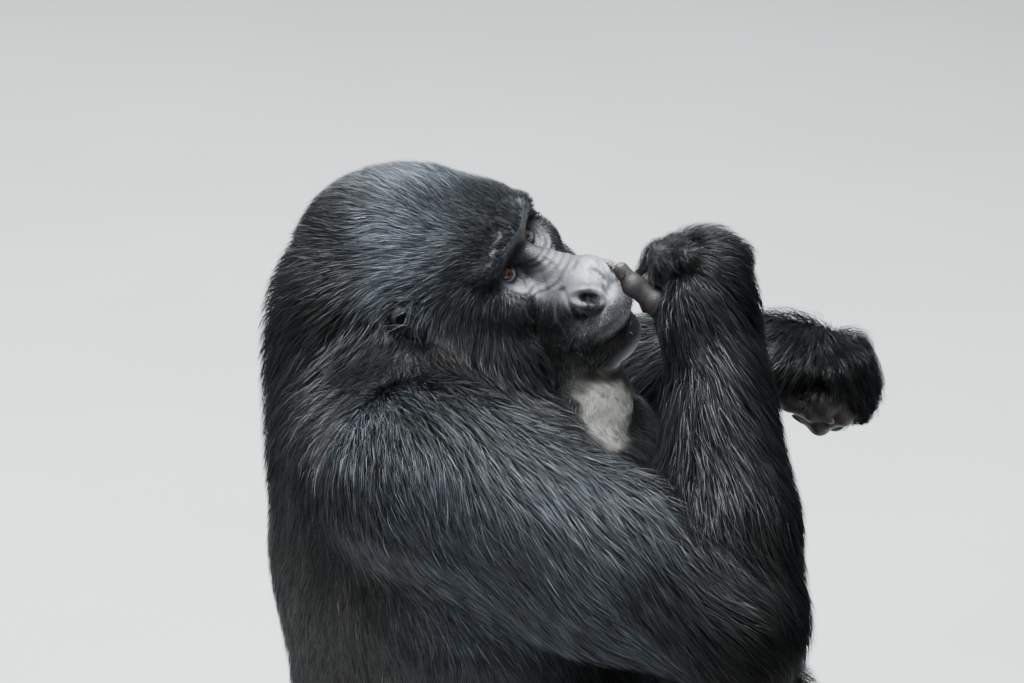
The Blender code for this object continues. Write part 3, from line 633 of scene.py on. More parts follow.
# ---------------- colours of skin and coat
BLACK_COAT = np.array((0.0078, 0.0084, 0.0088))
SILVER_COAT = np.array((0.029, 0.0285, 0.028))
BROWN_COAT = np.array((0.024, 0.017, 0.012))
GREY_STUBBLE = np.array((0.040, 0.042, 0.045))
# The colour of the painted sheen on the crown and the outer shoulders.
SHEEN_COAT = np.array((0.052, 0.059, 0.069))
FACE_HIDE = np.array((0.046, 0.047, 0.052))
# The colour of the painted highlights on the shiny bare face.
HIGHLIGHT_HIDE = np.array((0.360, 0.366, 0.390))
BREAST_HIDE = np.array((0.400, 0.390, 0.360))
PALM_HIDE = np.array((0.024, 0.020, 0.018))
# The colour of the painted shade in the nostrils, along the mouth and round the eyes.
PAINTED_SHADE_HIDE = np.array((0.006, 0.006, 0.007))
BREAST_PLACE = np.array((0.164, -0.046, 0.748))
BREAST_RADIUS = 0.050
OUTER_SHOULDER = np.array((SHOULDER_BACK + 0.06, SHOULDER_HALF_WIDTH + 0.09, SHOULDER_HEIGHT - 0.10))


def waves(points, scale, seed):
    """A smooth random field between about -1 and 1 whose features are about scale metres across."""
    rng = np.random.default_rng(seed)
    total = np.zeros(len(points))
    for _ in range(6):
        way = unit(rng.normal(size=3)) * rng.uniform(0.6, 1.5) * 2 * math.pi / scale
        total += np.sin(points @ way + rng.uniform(0, 2 * math.pi))
    return total / 2.6


def mixed(colour, other, share):
    share = share[:, None]
    return colour * (1 - share) + other * share


def saddle_share(points):
    """1 on the short silver hair of the lower back, 0 elsewhere."""
    x, y, z = points.T
    back = 1 - ramp(x + 0.16 * np.abs(y), -0.09, 0.05)
    edge = 0.03 * waves(points, 0.12, 3)
    return back * (1 - ramp(z + edge, 0.60, 0.74)) * ramp(z + edge, 0.10, 0.20)


def coat_colour(points):
    view = head_view(points)
    colour = np.tile(BLACK_COAT, (len(points), 1))
    ahead, _, up = view.T
    # Painted sheen: the crown and the outer shoulders turn lighter and bluer, as where the light from above
    # falls on them.
    crown = ramp(up, -3.0, 7.0) * ramp(-ahead, 0.0, 8.0) * (1 - ramp(-ahead, 9.0, 16.0))
    one_side = np.stack([points[:, 0], np.abs(points[:, 1]), points[:, 2]], axis=1)
    shoulder = norms(one_side - OUTER_SHOULDER)
    sheen = np.maximum(0.80 * crown, 0.64 * (1 - ramp(shoulder, 0.10, 0.25)))
    colour = mixed(colour, SHEEN_COAT, sheen * (0.8 + 0.2 * waves(points, 0.06, 6)))
    # Painted light and shade: the hair of the head is lighter, and the forward-reaching forearms and the
    # nape are darker, by how the light falls on them.
    skull = 1 - ramp(norms((view - (-6, 0, -2)) / (14, 13, 15)), 0.85, 1.10)
    nape = bell(norms((points - (-0.16, -0.10, 0.84)) / (0.10, 0.14, 0.16)), 1.0)
    forearm_shade = ramp(points[:, 0], 0.19, 0.34) * (1 - skull)
    colour *= ((1 + 1.2 * skull) * (1 - 0.84 * forearm_shade) * (1 - 0.5 * nape))[:, None]
    colour = mixed(colour, SILVER_COAT, saddle_share(points) * (0.75 + 0.25 * waves(points, 0.03, 5)))
    near_mouth = 1 - ramp(norms(view - (4.0, 0, -9.0)), 8.0, 9.0)
    stubble = near_mouth * ramp(ahead, 1.0, 3.5) * (1 - ramp(up, -8.2, -6.8))
    for sign in (-1, 1):
        side = mirrored(view, sign)
        below_ear = bell(norms(side - (-7.5, 10.0, -3.0)), 2.6)
        colour = mixed(colour, BROWN_COAT, 0.35 * below_ear)
        under_eye = bell(norms(side - (0.5, 5.2, -3.6)), 2.2)
        colour = mixed(colour, GREY_STUBBLE, np.clip(0.6 * stubble + 0.3 * under_eye, 0, 0.8))
    return colour


def highlight_share(view):
    """1 on the painted highlight of the shiny nose pad, less on its bridge, over the brows and below the
    eyes.
    """
    pale = 0.24 * bell(near_line(view, NOSE_BRIDGE), 1.7)
    nose = norms((view - (6.4, 0.0, -5.6)) / (4.2, 4.4, 2.7))
    pale = np.maximum(pale, 0.9 - 0.9 * ramp(nose, 0.70, 1.10))
    # The painted highlight below the eye is stronger on the right than on the left.
    for sign, below_eye in ((-1, 0.42), (1, 0.10)):
        side = mirrored(view, sign)
        pale = np.maximum(pale, 0.10 * bell(near_line(side, BROW_PATCH), 0.7))
        pale = np.maximum(pale, below_eye * bell(near_line(side, BELOW_EYE), 1.3))
    return pale


def nostril_hole(side):
    """1 inside a nostril, where it is painted with shade, with its edge drawn out on the inner side."""
    inside = 1 - ramp(nostril_ring(side), 0.0, 1.0)
    return bell(nostril_ring(side + 0.25 * inside[:, None]), 0.98, 8)


def with_painted_shade(colour, points):
    """Painted shade on the face: in the nostrils, along the crease of the mouth, round the rims of the
    lids, under the chin, at the front of the lips, between the eyes and on the pouch below the left eye;
    the ears are darker too.
    """
    view = head_view(points)
    chin = 0.80 * ramp(-view[:, 2], 10.2, 11.6)
    front = 0.50 * ramp(view[:, 0], 9.2, 10.8) * ramp(-view[:, 2], 5.8, 7.6)
    # The pouch below the left eye gets painted shade and the right one none.
    for sign, pouch in ((-1, 0), (1, 0.5)):
        side = mirrored(view, sign)
        lips = bell(near_line(side, MOUTH_LINE), 0.45)
        rims = bell(norms(side - (0.4, 3.6, 0.1)), 1.35, 4)
        colour = mixed(colour, PAINTED_SHADE_HIDE, np.clip(nostril_hole(side) + 0.3 * lips + 0.75 * rims, 0, 1))
        ear = 0.75 * bell(norms(points - on_head(*EAR_PLACE * (1, sign, 1))), 0.030, 4)
        pouch = pouch * bell(norms(side - (0.9, 5.0, -0.9)), 2.2, 4)
        between_eyes = 0.62 * bell(near_line(side, EYE_TO_EYE), 1.7)
        left = (1 - ear) * (1 - chin) * (1 - between_eyes) * (1 - front) * (1 - pouch)
        colour = colour * left[:, None]
    return colour


def from_breast(points):
    return norms((points - BREAST_PLACE) / (0.85, 1, 1.05))


def breast_share(points):
    """1 on the bare patch of the breast."""
    away = from_breast(points) + 0.004 * waves(points, 0.02, 9)
    return 1 - ramp(away, BREAST_RADIUS * 0.66, BREAST_RADIUS)


def hide_colour(points, coat_share):
    """Bare hide, with painted highlights where it is shiny and painted shade on the face, turning into the
    coat's colours under the coat.
    """
    # Painted highlights of shiny hide on the nose pad, its bridge, the brows and below the eyes.
    pale = highlight_share(head_view(points)) * (0.85 + 0.25 * waves(points, 0.011, 8))
    colour = np.tile(FACE_HIDE, (len(points), 1))
    colour = mixed(colour, HIGHLIGHT_HIDE, np.clip(pale, 0, 1))
    colour = with_painted_shade(colour, points)
    # Painted shade: the bare breast fades darker towards its rim, as a rounded bulge is shaded.
    breast = breast_share(points) * (0.35 + 0.65 * bell(from_breast(points), 0.040, 4))
    mottling = 0.85 + 0.24 * waves(points, 0.012, 21) + 0.14 * waves(points, 0.004, 22)
    colour = mixed(colour, BREAST_HIDE * mottling[:, None], breast)
    for spot, radius in bare_spots:
        near = 1 - ramp(norms(points - spot), radius * 0.6, radius * 1.3)
        colour = mixed(colour, PALM_HIDE, near * 0.8)
    return mixed(colour, coat_colour(points), coat_share)


# ---------------- the lie of the coat
NECK_ROOT = np.array((-0.045, 0.0, 0.900))


def head_lie(points):
    """Back over the crown, down the cheeks towards the jaw, and out round the face."""
    view = head_view(points)
    crown = ramp(view[:, 2], -2.0, 3.5)
    outward = np.stack([np.zeros(len(view)), view[:, 1], view[:, 2] + 3.0], axis=1)
    outward /= np.maximum(norms(outward)[:, None], 1.0)
    over = np.array((-1.0, 0.0, 0.12))
    down = np.array((-0.45, 0.0, -1.0))
    way = mixed(np.tile(down, (len(view), 1)), over, crown) + 0.45 * outward
    chin = ramp(-view[:, 2], 9.0, 12.0)[:, None]
    way = way * (1 - chin) + chin * np.array((-0.8, 0.0, -0.8))
    return way @ HEAD_AXES.T


def fan(bone):
    """A lie of the coat that spreads from the root of the neck and then follows a bone."""
    def lie(points):
        return units(points - NECK_ROOT) + 0.55 * np.asarray(bone)
    return lie


def still(vector):
    """A lie of the coat that is the same all along one part of the body."""
    way = unit(vector)
    return lambda points: np.tile(way, (len(points), 1))


def coat_guides(joint):
    """Parts of the body: (name, start, end, radius, lie of the coat, hair length over coat depth)."""
    rows = [
        ("head", on_head(-4, 0, -1), on_head(-13, 0, 3), 0.100, head_lie, 2.0),
        ("neck", on_head(-9, 0, -3), np.array((-0.07, 0.01, 0.76)), 0.100, fan((-0.15, 0, -1.0)), 2.2),
        ("back", np.array((-0.10, 0, 0.74)), np.array((-0.10, 0, 0.22)), 0.150, fan((0, 0, -0.8)), 2.0),
        ("chest", np.array((0.05, 0, 0.66)), np.array((0.08, 0, 0.42)), 0.190, still((0.2, 0, -1)), 2.0),
        ("belly", np.array((0.09, 0, 0.38)), np.array((0.03, 0, 0.14)), 0.240, still((0, 0, -1)), 2.1),
    ]
    for side in "rl":
        s, e, w, h, k, a = (joint[n + "_" + side] for n in
                            ("shoulder", "elbow", "wrist", "hip", "knee", "ankle"))
        middle = 0.45 * s + 0.55 * e
        hand_way = unit(np.array(HAND_ALONG[side]))
        sweep = 0.8 * AHEAD if side == "r" else np.array((0, -0.5, 0))
        forearm_lie = 0.55 * DOWN + sweep + unit(e - w)
        hand_lie = 0.6 * DOWN + sweep + (0 if side == "r" else 0.9 * hand_way)
        toe_way = heading(-14 if side == "r" else 16, 0)
        rows += [
            ("arm_" + side, s, middle, 0.105, fan(1.2 * unit(e - s) + 0.7 * DOWN), 2.3),
            ("arm_" + side, middle, e, 0.085, still(unit(e - s) + 0.45 * DOWN), 2.5),
            ("forearm_" + side, e, w, 0.070, still(forearm_lie), 2.7),
            ("hand_" + side, w + 0.02 * hand_way, w + 0.12 * hand_way, 0.040, still(hand_lie), 2.0),
            ("leg_" + side, h, k, 0.110, still(unit(k - h) + 0.45 * DOWN), 2.2),
            ("leg_" + side, k, a, 0.070, still(unit(a - k) + 0.2 * DOWN), 2.3),
            ("foot_" + side, a, a + 0.14 * toe_way - (0, 0, 0.03), 0.045, still(toe_way), 2.6),
        ]
    return rows


def piece_of(part):
    """The piece of the coat that a part of the body grows."""
    return "coat_" + part.replace("hand", "forearm").replace("foot", "leg")


TUFTS_IN = {"coat_head": 65000, "coat_neck": 40000, "coat_back": 56000, "coat_chest": 34000,
            "coat_belly": 44000, "coat_arm_r": 60000, "coat_forearm_r": 48000, "coat_arm_l": 34000,
            "coat_forearm_l": 34000, "coat_leg_r": 34000, "coat_leg_l": 34000}


COAT_STARTS = (0.0022, 0.0048)  # depths in metres between which bare hide turns into coat


def bare_share(points, depth):
    """1 where no coat grows: the face, ears, breast, palms, fingers and toes."""
    bare = np.maximum(1 - ramp(depth, *COAT_STARTS), face_share(points))
    for spot, radius in bare_spots:
        bare = np.maximum(bare, 1 - ramp(norms(points - spot), radius * 0.8, radius * 1.1))
    for sign in (-1, 1):
        ear = on_head(*EAR_PLACE * (1, sign, 1))
        bare = np.maximum(bare, 1 - ramp(norms(points - ear), 0.013, 0.020))
    return np.maximum(bare, breast_share(points))


def face_share(points):
    """1 on the bare middle of the face, from above the brow to the chin."""
    view = head_view(points)
    low = norms((view - (2.5, 0, -5.0)) / (6.0, 5.3, 9.0))
    high = norms((view - (1.5, 0, 0)) / (5.0, 6.2, 6.0))
    middle = (1 - ramp(np.minimum(low, high), 0.88, 1.12)) * ramp(view[:, 0], -1.2, 0.2)
    return np.maximum(middle, 0.9 * (1 - ramp(near_brow_patch(view), 0.1, 0.9)))


def on_either_side(view, measure):
    """The lesser of a measure taken on the left half of the face and on the right half."""
    return np.minimum(measure(view), measure(mirrored(view, -1)))


def near_brow_patch(view):
    """Distance in centimetres from the worn bare patch along each brow."""
    return on_either_side(view, lambda side: near_line(side, BROW_PATCH))


def stubble_share(points):
    """1 on the parts of the face that grow short fine hair: lips, chin, cheeks and below the eyes."""
    view = head_view(points)
    eye = on_either_side(view, lambda side: norms(side - (1.2, 3.5, 0)))
    mouth = on_either_side(view, lambda side: near_line(side, MOUTH_LINE))
    hole = on_either_side(view, nostril_ring)
    lip = ramp(-view[:, 2], 7.6, 8.6)
    cheek = ramp(np.abs(view[:, 1]), 3.4, 5.0) * ramp(eye, 2.0, 3.0)
    forehead = ramp(view[:, 2], 2.6, 4.0)
    on_face = 1 - ramp(norms((view - (1, 0, -5)) / (9, 8, 12)), 0.9, 1.1)
    face = np.clip(lip + cheek + forehead, 0, 1) * on_face * ramp(mouth, 0.3, 0.7) * ramp(hole, 1.3, 1.8)
    face = face * ramp(near_brow_patch(view), 0.0, 0.8)
    return np.maximum(face, 0.08 * breast_share(points))


LIE_BLEND = 0.022  # metres over which one part's lie turns into the next
COMB_ROUNDS = 6
DEEPEST_COAT = 0.035


class Coat:
    """Everything a tuft needs, worked out at each corner of the skin."""

    def __init__(self, mesh, items, joint):
        self.points = vertex_points(mesh)
        self.normals = vertex_normals(mesh)
        self.triangles = triangles_of(mesh)
        depth = np.clip(-field(items, self.points, inset=0.0), 0.0, DEEPEST_COAT)
        guides = coat_guides(joint)
        near = bone_distances(self.points, [(start, end, radius) for _, start, end, radius, _, _ in guides])
        share = np.exp(-(near - near.min(axis=1, keepdims=True)) / LIE_BLEND)
        share /= share.sum(axis=1, keepdims=True)
        lie = sum(share[:, k, None] * row[4](self.points) for k, row in enumerate(guides))
        swirl = 0.22 * waves(self.points, 0.11, 11) + 0.12 * waves(self.points, 0.035, 12)
        self.lie = self.combed(mesh, lie, swirl)
        stretch = share @ np.array([row[5] for row in guides])
        saddle = saddle_share(self.points)
        self.height = depth * (1 - 0.35 * saddle)
        self.length = depth * stretch * (1 - 0.25 * saddle)
        self.bare = bare_share(self.points, depth)
        self.stubble = stubble_share(self.points) * np.clip(self.bare, 0, 1)
        self.piece = np.array([piece_of(row[0]) for row in guides])[near.argmin(axis=1)]
        self.map_places = read(mesh.uv_layers["OFBake"].data, "uv", 2).reshape(-1, 3, 2)

    def combed(self, mesh, lie, swirl):
        """The lie turned by the swirl, flat on the skin and evened out between neighbours."""
        n = self.normals
        ends, valence = mesh_edges(mesh)
        for _ in range(COMB_ROUNDS):
            lie = units(lie - n * (lie * n).sum(axis=1, keepdims=True))
            lie = eased(lie, ends, valence)
        lie = lie * np.cos(swirl)[:, None] + np.cross(n, lie) * np.sin(swirl)[:, None]
        return units(lie - n * (lie * n).sum(axis=1, keepdims=True))


def scatter(coat, chance, count, rng):
    """Evenly spread places: a function that reads the coat's values there, and where the map has them."""
    corners = coat.points[coat.triangles]
    area = norms(np.cross(corners[:, 1] - corners[:, 0], corners[:, 2] - corners[:, 0]))
    heap = np.cumsum(area * chance[coat.triangles].mean(axis=1))
    pick = np.searchsorted(heap, (np.arange(count) + rng.random(count)) / count * heap[-1])
    pick = np.minimum(pick, len(area) - 1)
    a, b = rng.random((2, count))
    over = a + b > 1
    a, b = np.where(over, 1 - a, a), np.where(over, 1 - b, b)
    weights = np.stack([1 - a - b, a, b], axis=1)

    def at(values):
        shares = weights if values.ndim == 1 else weights[:, :, None]
        return (values[coat.triangles[pick]] * shares).sum(axis=1)

    return at, (coat.map_places[pick] * weights[:, :, None]).sum(axis=1)


def held_at(points, heights, items):
    """Moves points to given heights over the skin, along the way out of it."""
    value, slope, size = field_slope(items, points, step=0.0008, least=0.3)
    move = np.clip(heights - value, -FARTHEST_MOVE, FARTHEST_MOVE) / size
    return points + move[:, None] * slope


STATIONS = np.array((0.0, 0.5, 1.0))
DROOP = 0.10
ROOT_DEPTH = 0.0012
TIP_GAP = 0.12  # of the way between two roots of a lock, kept between their tips


def hair_paths(roots, normals, ways, lengths, heights):
    """Points along each hair: out of the skin, then over along the body, drooping a little."""
    paths = []
    for t in STATIONS:
        rise = heights * (1 - (1 - t) ** 1.8)
        path = roots + ways * (lengths * t)[:, None] + normals * (rise - ROOT_DEPTH * (1 - t))[:, None]
        path[:, 2] -= DROOP * lengths * t * t
        paths.append(path)
    return paths


def clump_pulls(roots, paths, coat, chance, rng):
    """Draws neighbours together towards the end of the lock that they share, with each lock's tone."""
    count = max(200, int(len(roots) / HAIRS_IN_LOCK))
    at, _ = scatter(coat, chance, count, rng)
    place = at(coat.points)
    ways = units(at(coat.lie) + rng.normal(0, 0.16, (count, 3)))
    length = at(coat.length) * rng.uniform(0.85, 1.15, count)
    height = at(coat.height) * rng.uniform(0.70, 1.10, count)
    lead = hair_paths(place, units(at(coat.normals)), ways, length, height)
    tree = KDTree(count)
    for k, spot in enumerate(place):
        tree.insert(spot, k)
    tree.balance()
    nearest = np.array([tree.find(spot)[1] for spot in roots])
    apart = roots - place[nearest]
    hold = rng.uniform(0.10, 0.70, count)[nearest] * (1 - ramp(norms(apart), 0.02, 0.04))
    bright = rng.normal(0, 1, count)[nearest]
    for k, t in enumerate(STATIONS):
        pull = (hold * t**1.4)[:, None]
        paths[k] = paths[k] * (1 - pull) + (lead[k][nearest] + apart * TIP_GAP) * pull
    return paths, bright


HAIRS_IN_LOCK = 6
HAIR_WIDTH = 0.00052
STUBBLE_WIDTH = 0.00045
PATCH = 0.003  # of the map, where each tuft is painted


def blades(paths, normals, widths, rng):
    """Thin tapered blades along the paths: corner places, five to a hair."""
    way = units(paths[2] - paths[0])
    side = units(np.cross(way, normals))
    lean = rng.normal(0, 0.6, len(way))
    side = side * np.cos(lean)[:, None] + normals * np.sin(lean)[:, None]
    half = side * (widths / 2)[:, None]
    return np.stack([paths[0] - half * 0.8, paths[0] + half * 0.8,
                     paths[1] - half, paths[1] + half, paths[2]], axis=1)


BLADE_FACES = np.array(((0, 1, 3), (0, 3, 2), (2, 3, 4)))
BLADE_PATCH = np.array(((0, 0), (1, 0), (0, 0.5), (1, 0.5), (0.5, 1))) * PATCH
ROOT_TO_TIP = np.array((0.30, 0.30, 0.95, 0.95, 1.60))


def blade_mesh(name, corners, map_places, colours):
    """One mesh of many blades, with its bake map and its colours."""
    count = len(corners)
    faces = (BLADE_FACES[None] + 5 * np.arange(count)[:, None, None]).reshape(-1, 3)
    mesh = bpy.data.meshes.new(name)
    mesh.vertices.add(5 * count)
    mesh.vertices.foreach_set("co", corners.ravel())
    mesh.loops.add(faces.size)
    mesh.loops.foreach_set("vertex_index", faces.ravel())
    mesh.polygons.add(len(faces))
    mesh.polygons.foreach_set("loop_start", np.arange(0, faces.size, 3))
    mesh.update(calc_edges=True)
    mesh.polygons.foreach_set("use_smooth", np.ones(len(faces), bool))
    spots = (map_places[:, None] + BLADE_PATCH[None]).reshape(-1, 2)
    layer = mesh.uv_layers.new(name="OFBake")
    layer.data.foreach_set("uv", spots[faces.ravel()].ravel())
    paint(mesh, (colours[:, None] * ROOT_TO_TIP[None, :, None]).reshape(-1, 3))
    return mesh


def paint(mesh, colours):
    """Stores a colour at each corner of a mesh for its material to read."""
    layer = mesh.color_attributes.new("tint", "FLOAT_COLOR", "POINT")
    full = np.concatenate([colours, np.ones((len(colours), 1))], axis=1)
    layer.data.foreach_set("color", full.ravel())


HEIGHT_SHARES = ((1, 0.72), (2, 1.0))  # a station of the hairs and its share of their height
LOWEST_HAIR = 0.001
LOCK_CONTRAST = 0.18
HAIR_CONTRAST = 0.60
SHORTEST_HAIR = 0.006
SHORTEST = {"coat_neck": 0.020, "coat_arm_r": 0.020, "coat_arm_l": 0.020, "coat_back": 0.016}


def grow_piece(name, coat, items, rng):
    """The coat of one part of the body."""
    here = coat.piece == name
    crowding = 0.35 + 30 * np.clip(0.03 - coat.length, 0, 0.02)  # short hair stands closer
    grows = here * (1 - coat.bare) * crowding
    stubble = here * coat.stubble * 1.1
    count = TUFTS_IN[name]
    at, map_places = scatter(coat, grows + stubble, count, rng)
    roots, normals = at(coat.points), units(at(coat.normals))
    fine = at(coat.stubble) > 0.25
    lengths = at(coat.length) * rng.uniform(0.65, 1.15, count)
    heights = at(coat.height) * rng.uniform(0.50, 1.18, count)
    lengths = np.maximum(lengths, SHORTEST.get(name, SHORTEST_HAIR))
    lengths = np.where(fine, rng.uniform(0.004, 0.008, count), lengths)
    heights = np.where(fine, rng.uniform(0.0006, 0.0018, count), np.maximum(heights, 0.0025))
    ways = units(at(coat.lie) + rng.normal(0, 0.13, (count, 3)))
    paths = hair_paths(roots, normals, ways, lengths, heights)
    paths, bright = clump_pulls(roots, paths, coat, grows + 1e-9, rng)
    for k, share in HEIGHT_SHARES:
        paths[k] = held_at(paths[k], heights * share, items)
        paths[k][:, 2] = np.maximum(paths[k][:, 2], LOWEST_HAIR)
    widths = np.where(fine, STUBBLE_WIDTH, HAIR_WIDTH * np.clip(lengths / 0.030, 0.65, 1.35))
    widths *= rng.uniform(0.7, 1.2, count)
    light = np.exp(LOCK_CONTRAST * bright + rng.normal(0, HAIR_CONTRAST, count) - 0.15)
    colours = coat_colour(roots) * light[:, None]
    corners = blades(paths, normals, widths, rng)
    mesh = blade_mesh(name, corners, map_places * (1 - PATCH), colours)
    return bpy.data.objects.new(name, mesh)


# ---------------- the map that the bake uses
def unwrap(obj):
    """Lays the skin out flat by its own shape, one corner of a triangle at a time."""
    bpy.context.view_layer.objects.active = obj
    obj.select_set(True)
    obj.data.uv_layers.new(name="OFBake")
    bpy.ops.object.mode_set(mode="EDIT")
    bpy.ops.mesh.select_all(action="SELECT")
    bpy.ops.uv.smart_project(angle_limit=math.radians(70), island_margin=0.002)
    bpy.ops.object.mode_set(mode="OBJECT")
    obj.select_set(False)


# ---------------- eyes
def gaze(sign):
    """The eyes look a little to the animal's right of straight ahead."""
    return unit(HEAD_AXES[:, 0] + np.array((0.0, -0.42, 0.10)) + 0.02 * sign * HEAD_AXES[:, 1])


EYE_RINGS = 40
EYE_SPOKES = 56
IRIS_ANGLE = 29.0  # degrees from the gaze to the rim of the iris
CORNEA_RISE = 0.07


def eye_object(name, sign, material):
    """An eyeball with a raised cornea. ring is the angle from the gaze over a half turn."""
    ahead = gaze(sign)
    side = unit(np.cross(ahead, (0, 0, 1)))
    other = np.cross(ahead, side)
    centre = on_head(EYE_DEPTH, sign * EYE_HALF_SPACING / CM, 0)
    points, rings, turns, faces = [], [], [], []
    for ring in range(EYE_RINGS + 1):
        angle = math.pi * (ring / EYE_RINGS) ** 1.4
        rise = 1 + CORNEA_RISE * math.exp(-(angle / math.radians(IRIS_ANGLE)) ** 4)
        for spoke in range(EYE_SPOKES):
            turn = 2 * math.pi * spoke / EYE_SPOKES
            across = side * math.cos(turn) + other * math.sin(turn)
            spot = ahead * math.cos(angle) * rise + across * math.sin(angle)
            points.append(centre + EYE_RADIUS * 0.97 * spot)
            rings.append(angle / math.pi)
            turns.append((math.cos(turn), math.sin(turn), angle))
    for ring in range(EYE_RINGS):
        for spoke in range(EYE_SPOKES):
            a = ring * EYE_SPOKES + spoke
            b = ring * EYE_SPOKES + (spoke + 1) % EYE_SPOKES
            faces.append((a, b, b + EYE_SPOKES, a + EYE_SPOKES))
    mesh = bpy.data.meshes.new(name)
    mesh.from_pydata([tuple(p) for p in points], [], faces)
    mesh.attributes.new("ring", "FLOAT", "POINT").data.foreach_set("value", rings)
    mesh.attributes.new("spoke", "FLOAT_VECTOR", "POINT").data.foreach_set("vector", np.ravel(turns))

    def close_poles(bm):
        bmesh.ops.remove_doubles(bm, verts=bm.verts, dist=1e-7)
        bmesh.ops.recalc_face_normals(bm, faces=bm.faces)

    change_mesh(mesh, close_poles)
    return smooth_object(name, mesh, material)


# ---------------- nails
def nail_points(tip, way, back, radius):
    """A curved plate on the back of a fingertip, as rows of points across it, outside then inside."""
    side = np.cross(way, back)
    rows_out, rows_in = [], []
    for along in np.linspace(-0.95, 0.70, 9):
        width = 0.80 * math.sqrt(max(0.05, 1 - abs(along * 0.98) ** 3.5))
        outer, inner = [], []
        for across in np.linspace(-1, 1, 9):
            bend = across * width * 1.15
            out = side * math.sin(bend) + back * math.cos(bend)
            dip = 1.0 - 0.30 * max(0.0, along) ** 2
            place = tip + way * radius * along
            outer.append(place + out * radius * (1.06 * dip + 0.03))
            inner.append(place + out * radius * 0.90 * dip)
        rows_out.append(outer)
        rows_in.append(inner)
    return rows_out, rows_in


def build_nails(bm, places):
    """Closed plates: an outer and an inner sheet each, joined round their rims."""
    for tip, way, back, radius in places:
        back = unit(back - way * (back @ way))
        sheets = [[[bm.verts.new(p) for p in row] for row in rows]
                  for rows in nail_points(tip, way, back, radius)]
        for sheet in sheets:
            for low, high in zip(sheet, sheet[1:]):
                for k in range(len(low) - 1):
                    bm.faces.new((low[k], low[k + 1], high[k + 1], high[k]))
        outer, inner = sheets
        last = len(outer[0]) - 1
        for i in range(len(outer) - 1):
            for k in (0, last):
                bm.faces.new((outer[i][k], outer[i + 1][k], inner[i + 1][k], inner[i][k]))
        for i in (0, len(outer) - 1):
            for k in range(last):
                bm.faces.new((outer[i][k], outer[i][k + 1], inner[i][k + 1], inner[i][k]))
    bmesh.ops.recalc_face_normals(bm, faces=bm.faces)


# ---------------- materials
class Shader:
    """A material with a Principled shader and short ways to add nodes to it."""

    def __init__(self, name, **constants):
        self.material = bpy.data.materials.new(name)
        self.material.use_nodes = True
        self.tree = self.material.node_tree
        self.surface = self.tree.nodes["Principled BSDF"]
        for socket, value in constants.items():
            self.surface.inputs[socket.replace("_", " ")].default_value = value

    def node(self, kind, settings=None, **inputs):
        node = self.tree.nodes.new(kind)
        for key, value in (settings or {}).items():
            setattr(node, key, value)
        for key, value in inputs.items():
            self.join(value, node.inputs[key.replace("_", " ")])
        return node

    def join(self, value, socket):
        if isinstance(value, bpy.types.NodeSocket):
            self.tree.links.new(value, socket)
        else:
            socket.default_value = value

    def place(self):
        return self.node("ShaderNodeTexCoord").outputs["Object"]

    def tint(self):
        return self.node("ShaderNodeAttribute", {"attribute_name": "tint"}).outputs["Color"]

    def noise(self, scale, detail=4.0, roughness=0.6, vector=None):
        return self.node("ShaderNodeTexNoise", Vector=vector or self.place(), Scale=scale,
                         Detail=detail, Roughness=roughness).outputs["Fac"]

    def cells(self, scale, feature="DISTANCE_TO_EDGE", vector=None):
        return self.node("ShaderNodeTexVoronoi", {"feature": feature}, Vector=vector or self.place(),
                         Scale=scale).outputs["Distance"]

    def spread(self, value, low, high, to_low, to_high):
        node = self.node("ShaderNodeMapRange", Value=value)
        for key, number in (("From Min", low), ("From Max", high), ("To Min", to_low), ("To Max", to_high)):
            node.inputs[key].default_value = number
        return node.outputs["Result"]

    def times(self, a, b):
        node = self.node("ShaderNodeVectorMath", {"operation": "MULTIPLY"})
        self.join(a, node.inputs[0])
        self.join(b, node.inputs[1])
        return node.outputs["Vector"]

    def maths(self, operation, a, b):
        node = self.node("ShaderNodeMath", {"operation": operation})
        self.join(a, node.inputs[0])
        self.join(b, node.inputs[1])
        return node.outputs["Value"]

    def ramp(self, value, stops):
        node = self.node("ShaderNodeValToRGB", Fac=value)
        elements = node.color_ramp.elements
        while len(elements) < len(stops):
            elements.new(0.5)
        for element, (place, colour) in zip(elements, stops):
            element.position = place
            element.color = (*colour, 1.0)
        return node.outputs["Color"]

    def bump(self, height, strength, distance):
        made = self.node("ShaderNodeBump", Strength=strength, Distance=distance, Height=height)
        self.join(made.outputs["Normal"], self.surface.inputs["Normal"])


def coat_material():
    """Dark glossy hair: each tuft has its own tint, and fine noise breaks it along its length."""
    s = Shader("coat", Specular_IOR_Level=0.15, Sheen_Weight=0.03, Sheen_Roughness=0.40,
               Sheen_Tint=(0.55, 0.65, 0.85, 1.0))
    grain = s.noise(900, 3.0)
    patch = s.noise(28, 2.0)
    light = s.maths("MULTIPLY", s.spread(grain, 0.3, 0.7, 0.65, 1.4), s.spread(patch, 0.3, 0.7, 0.8, 1.25))
    s.join(s.times(s.tint(), light), s.surface.inputs["Base Color"])
    s.join(s.spread(grain, 0.3, 0.7, 0.34, 0.52), s.surface.inputs["Roughness"])
    return s.material


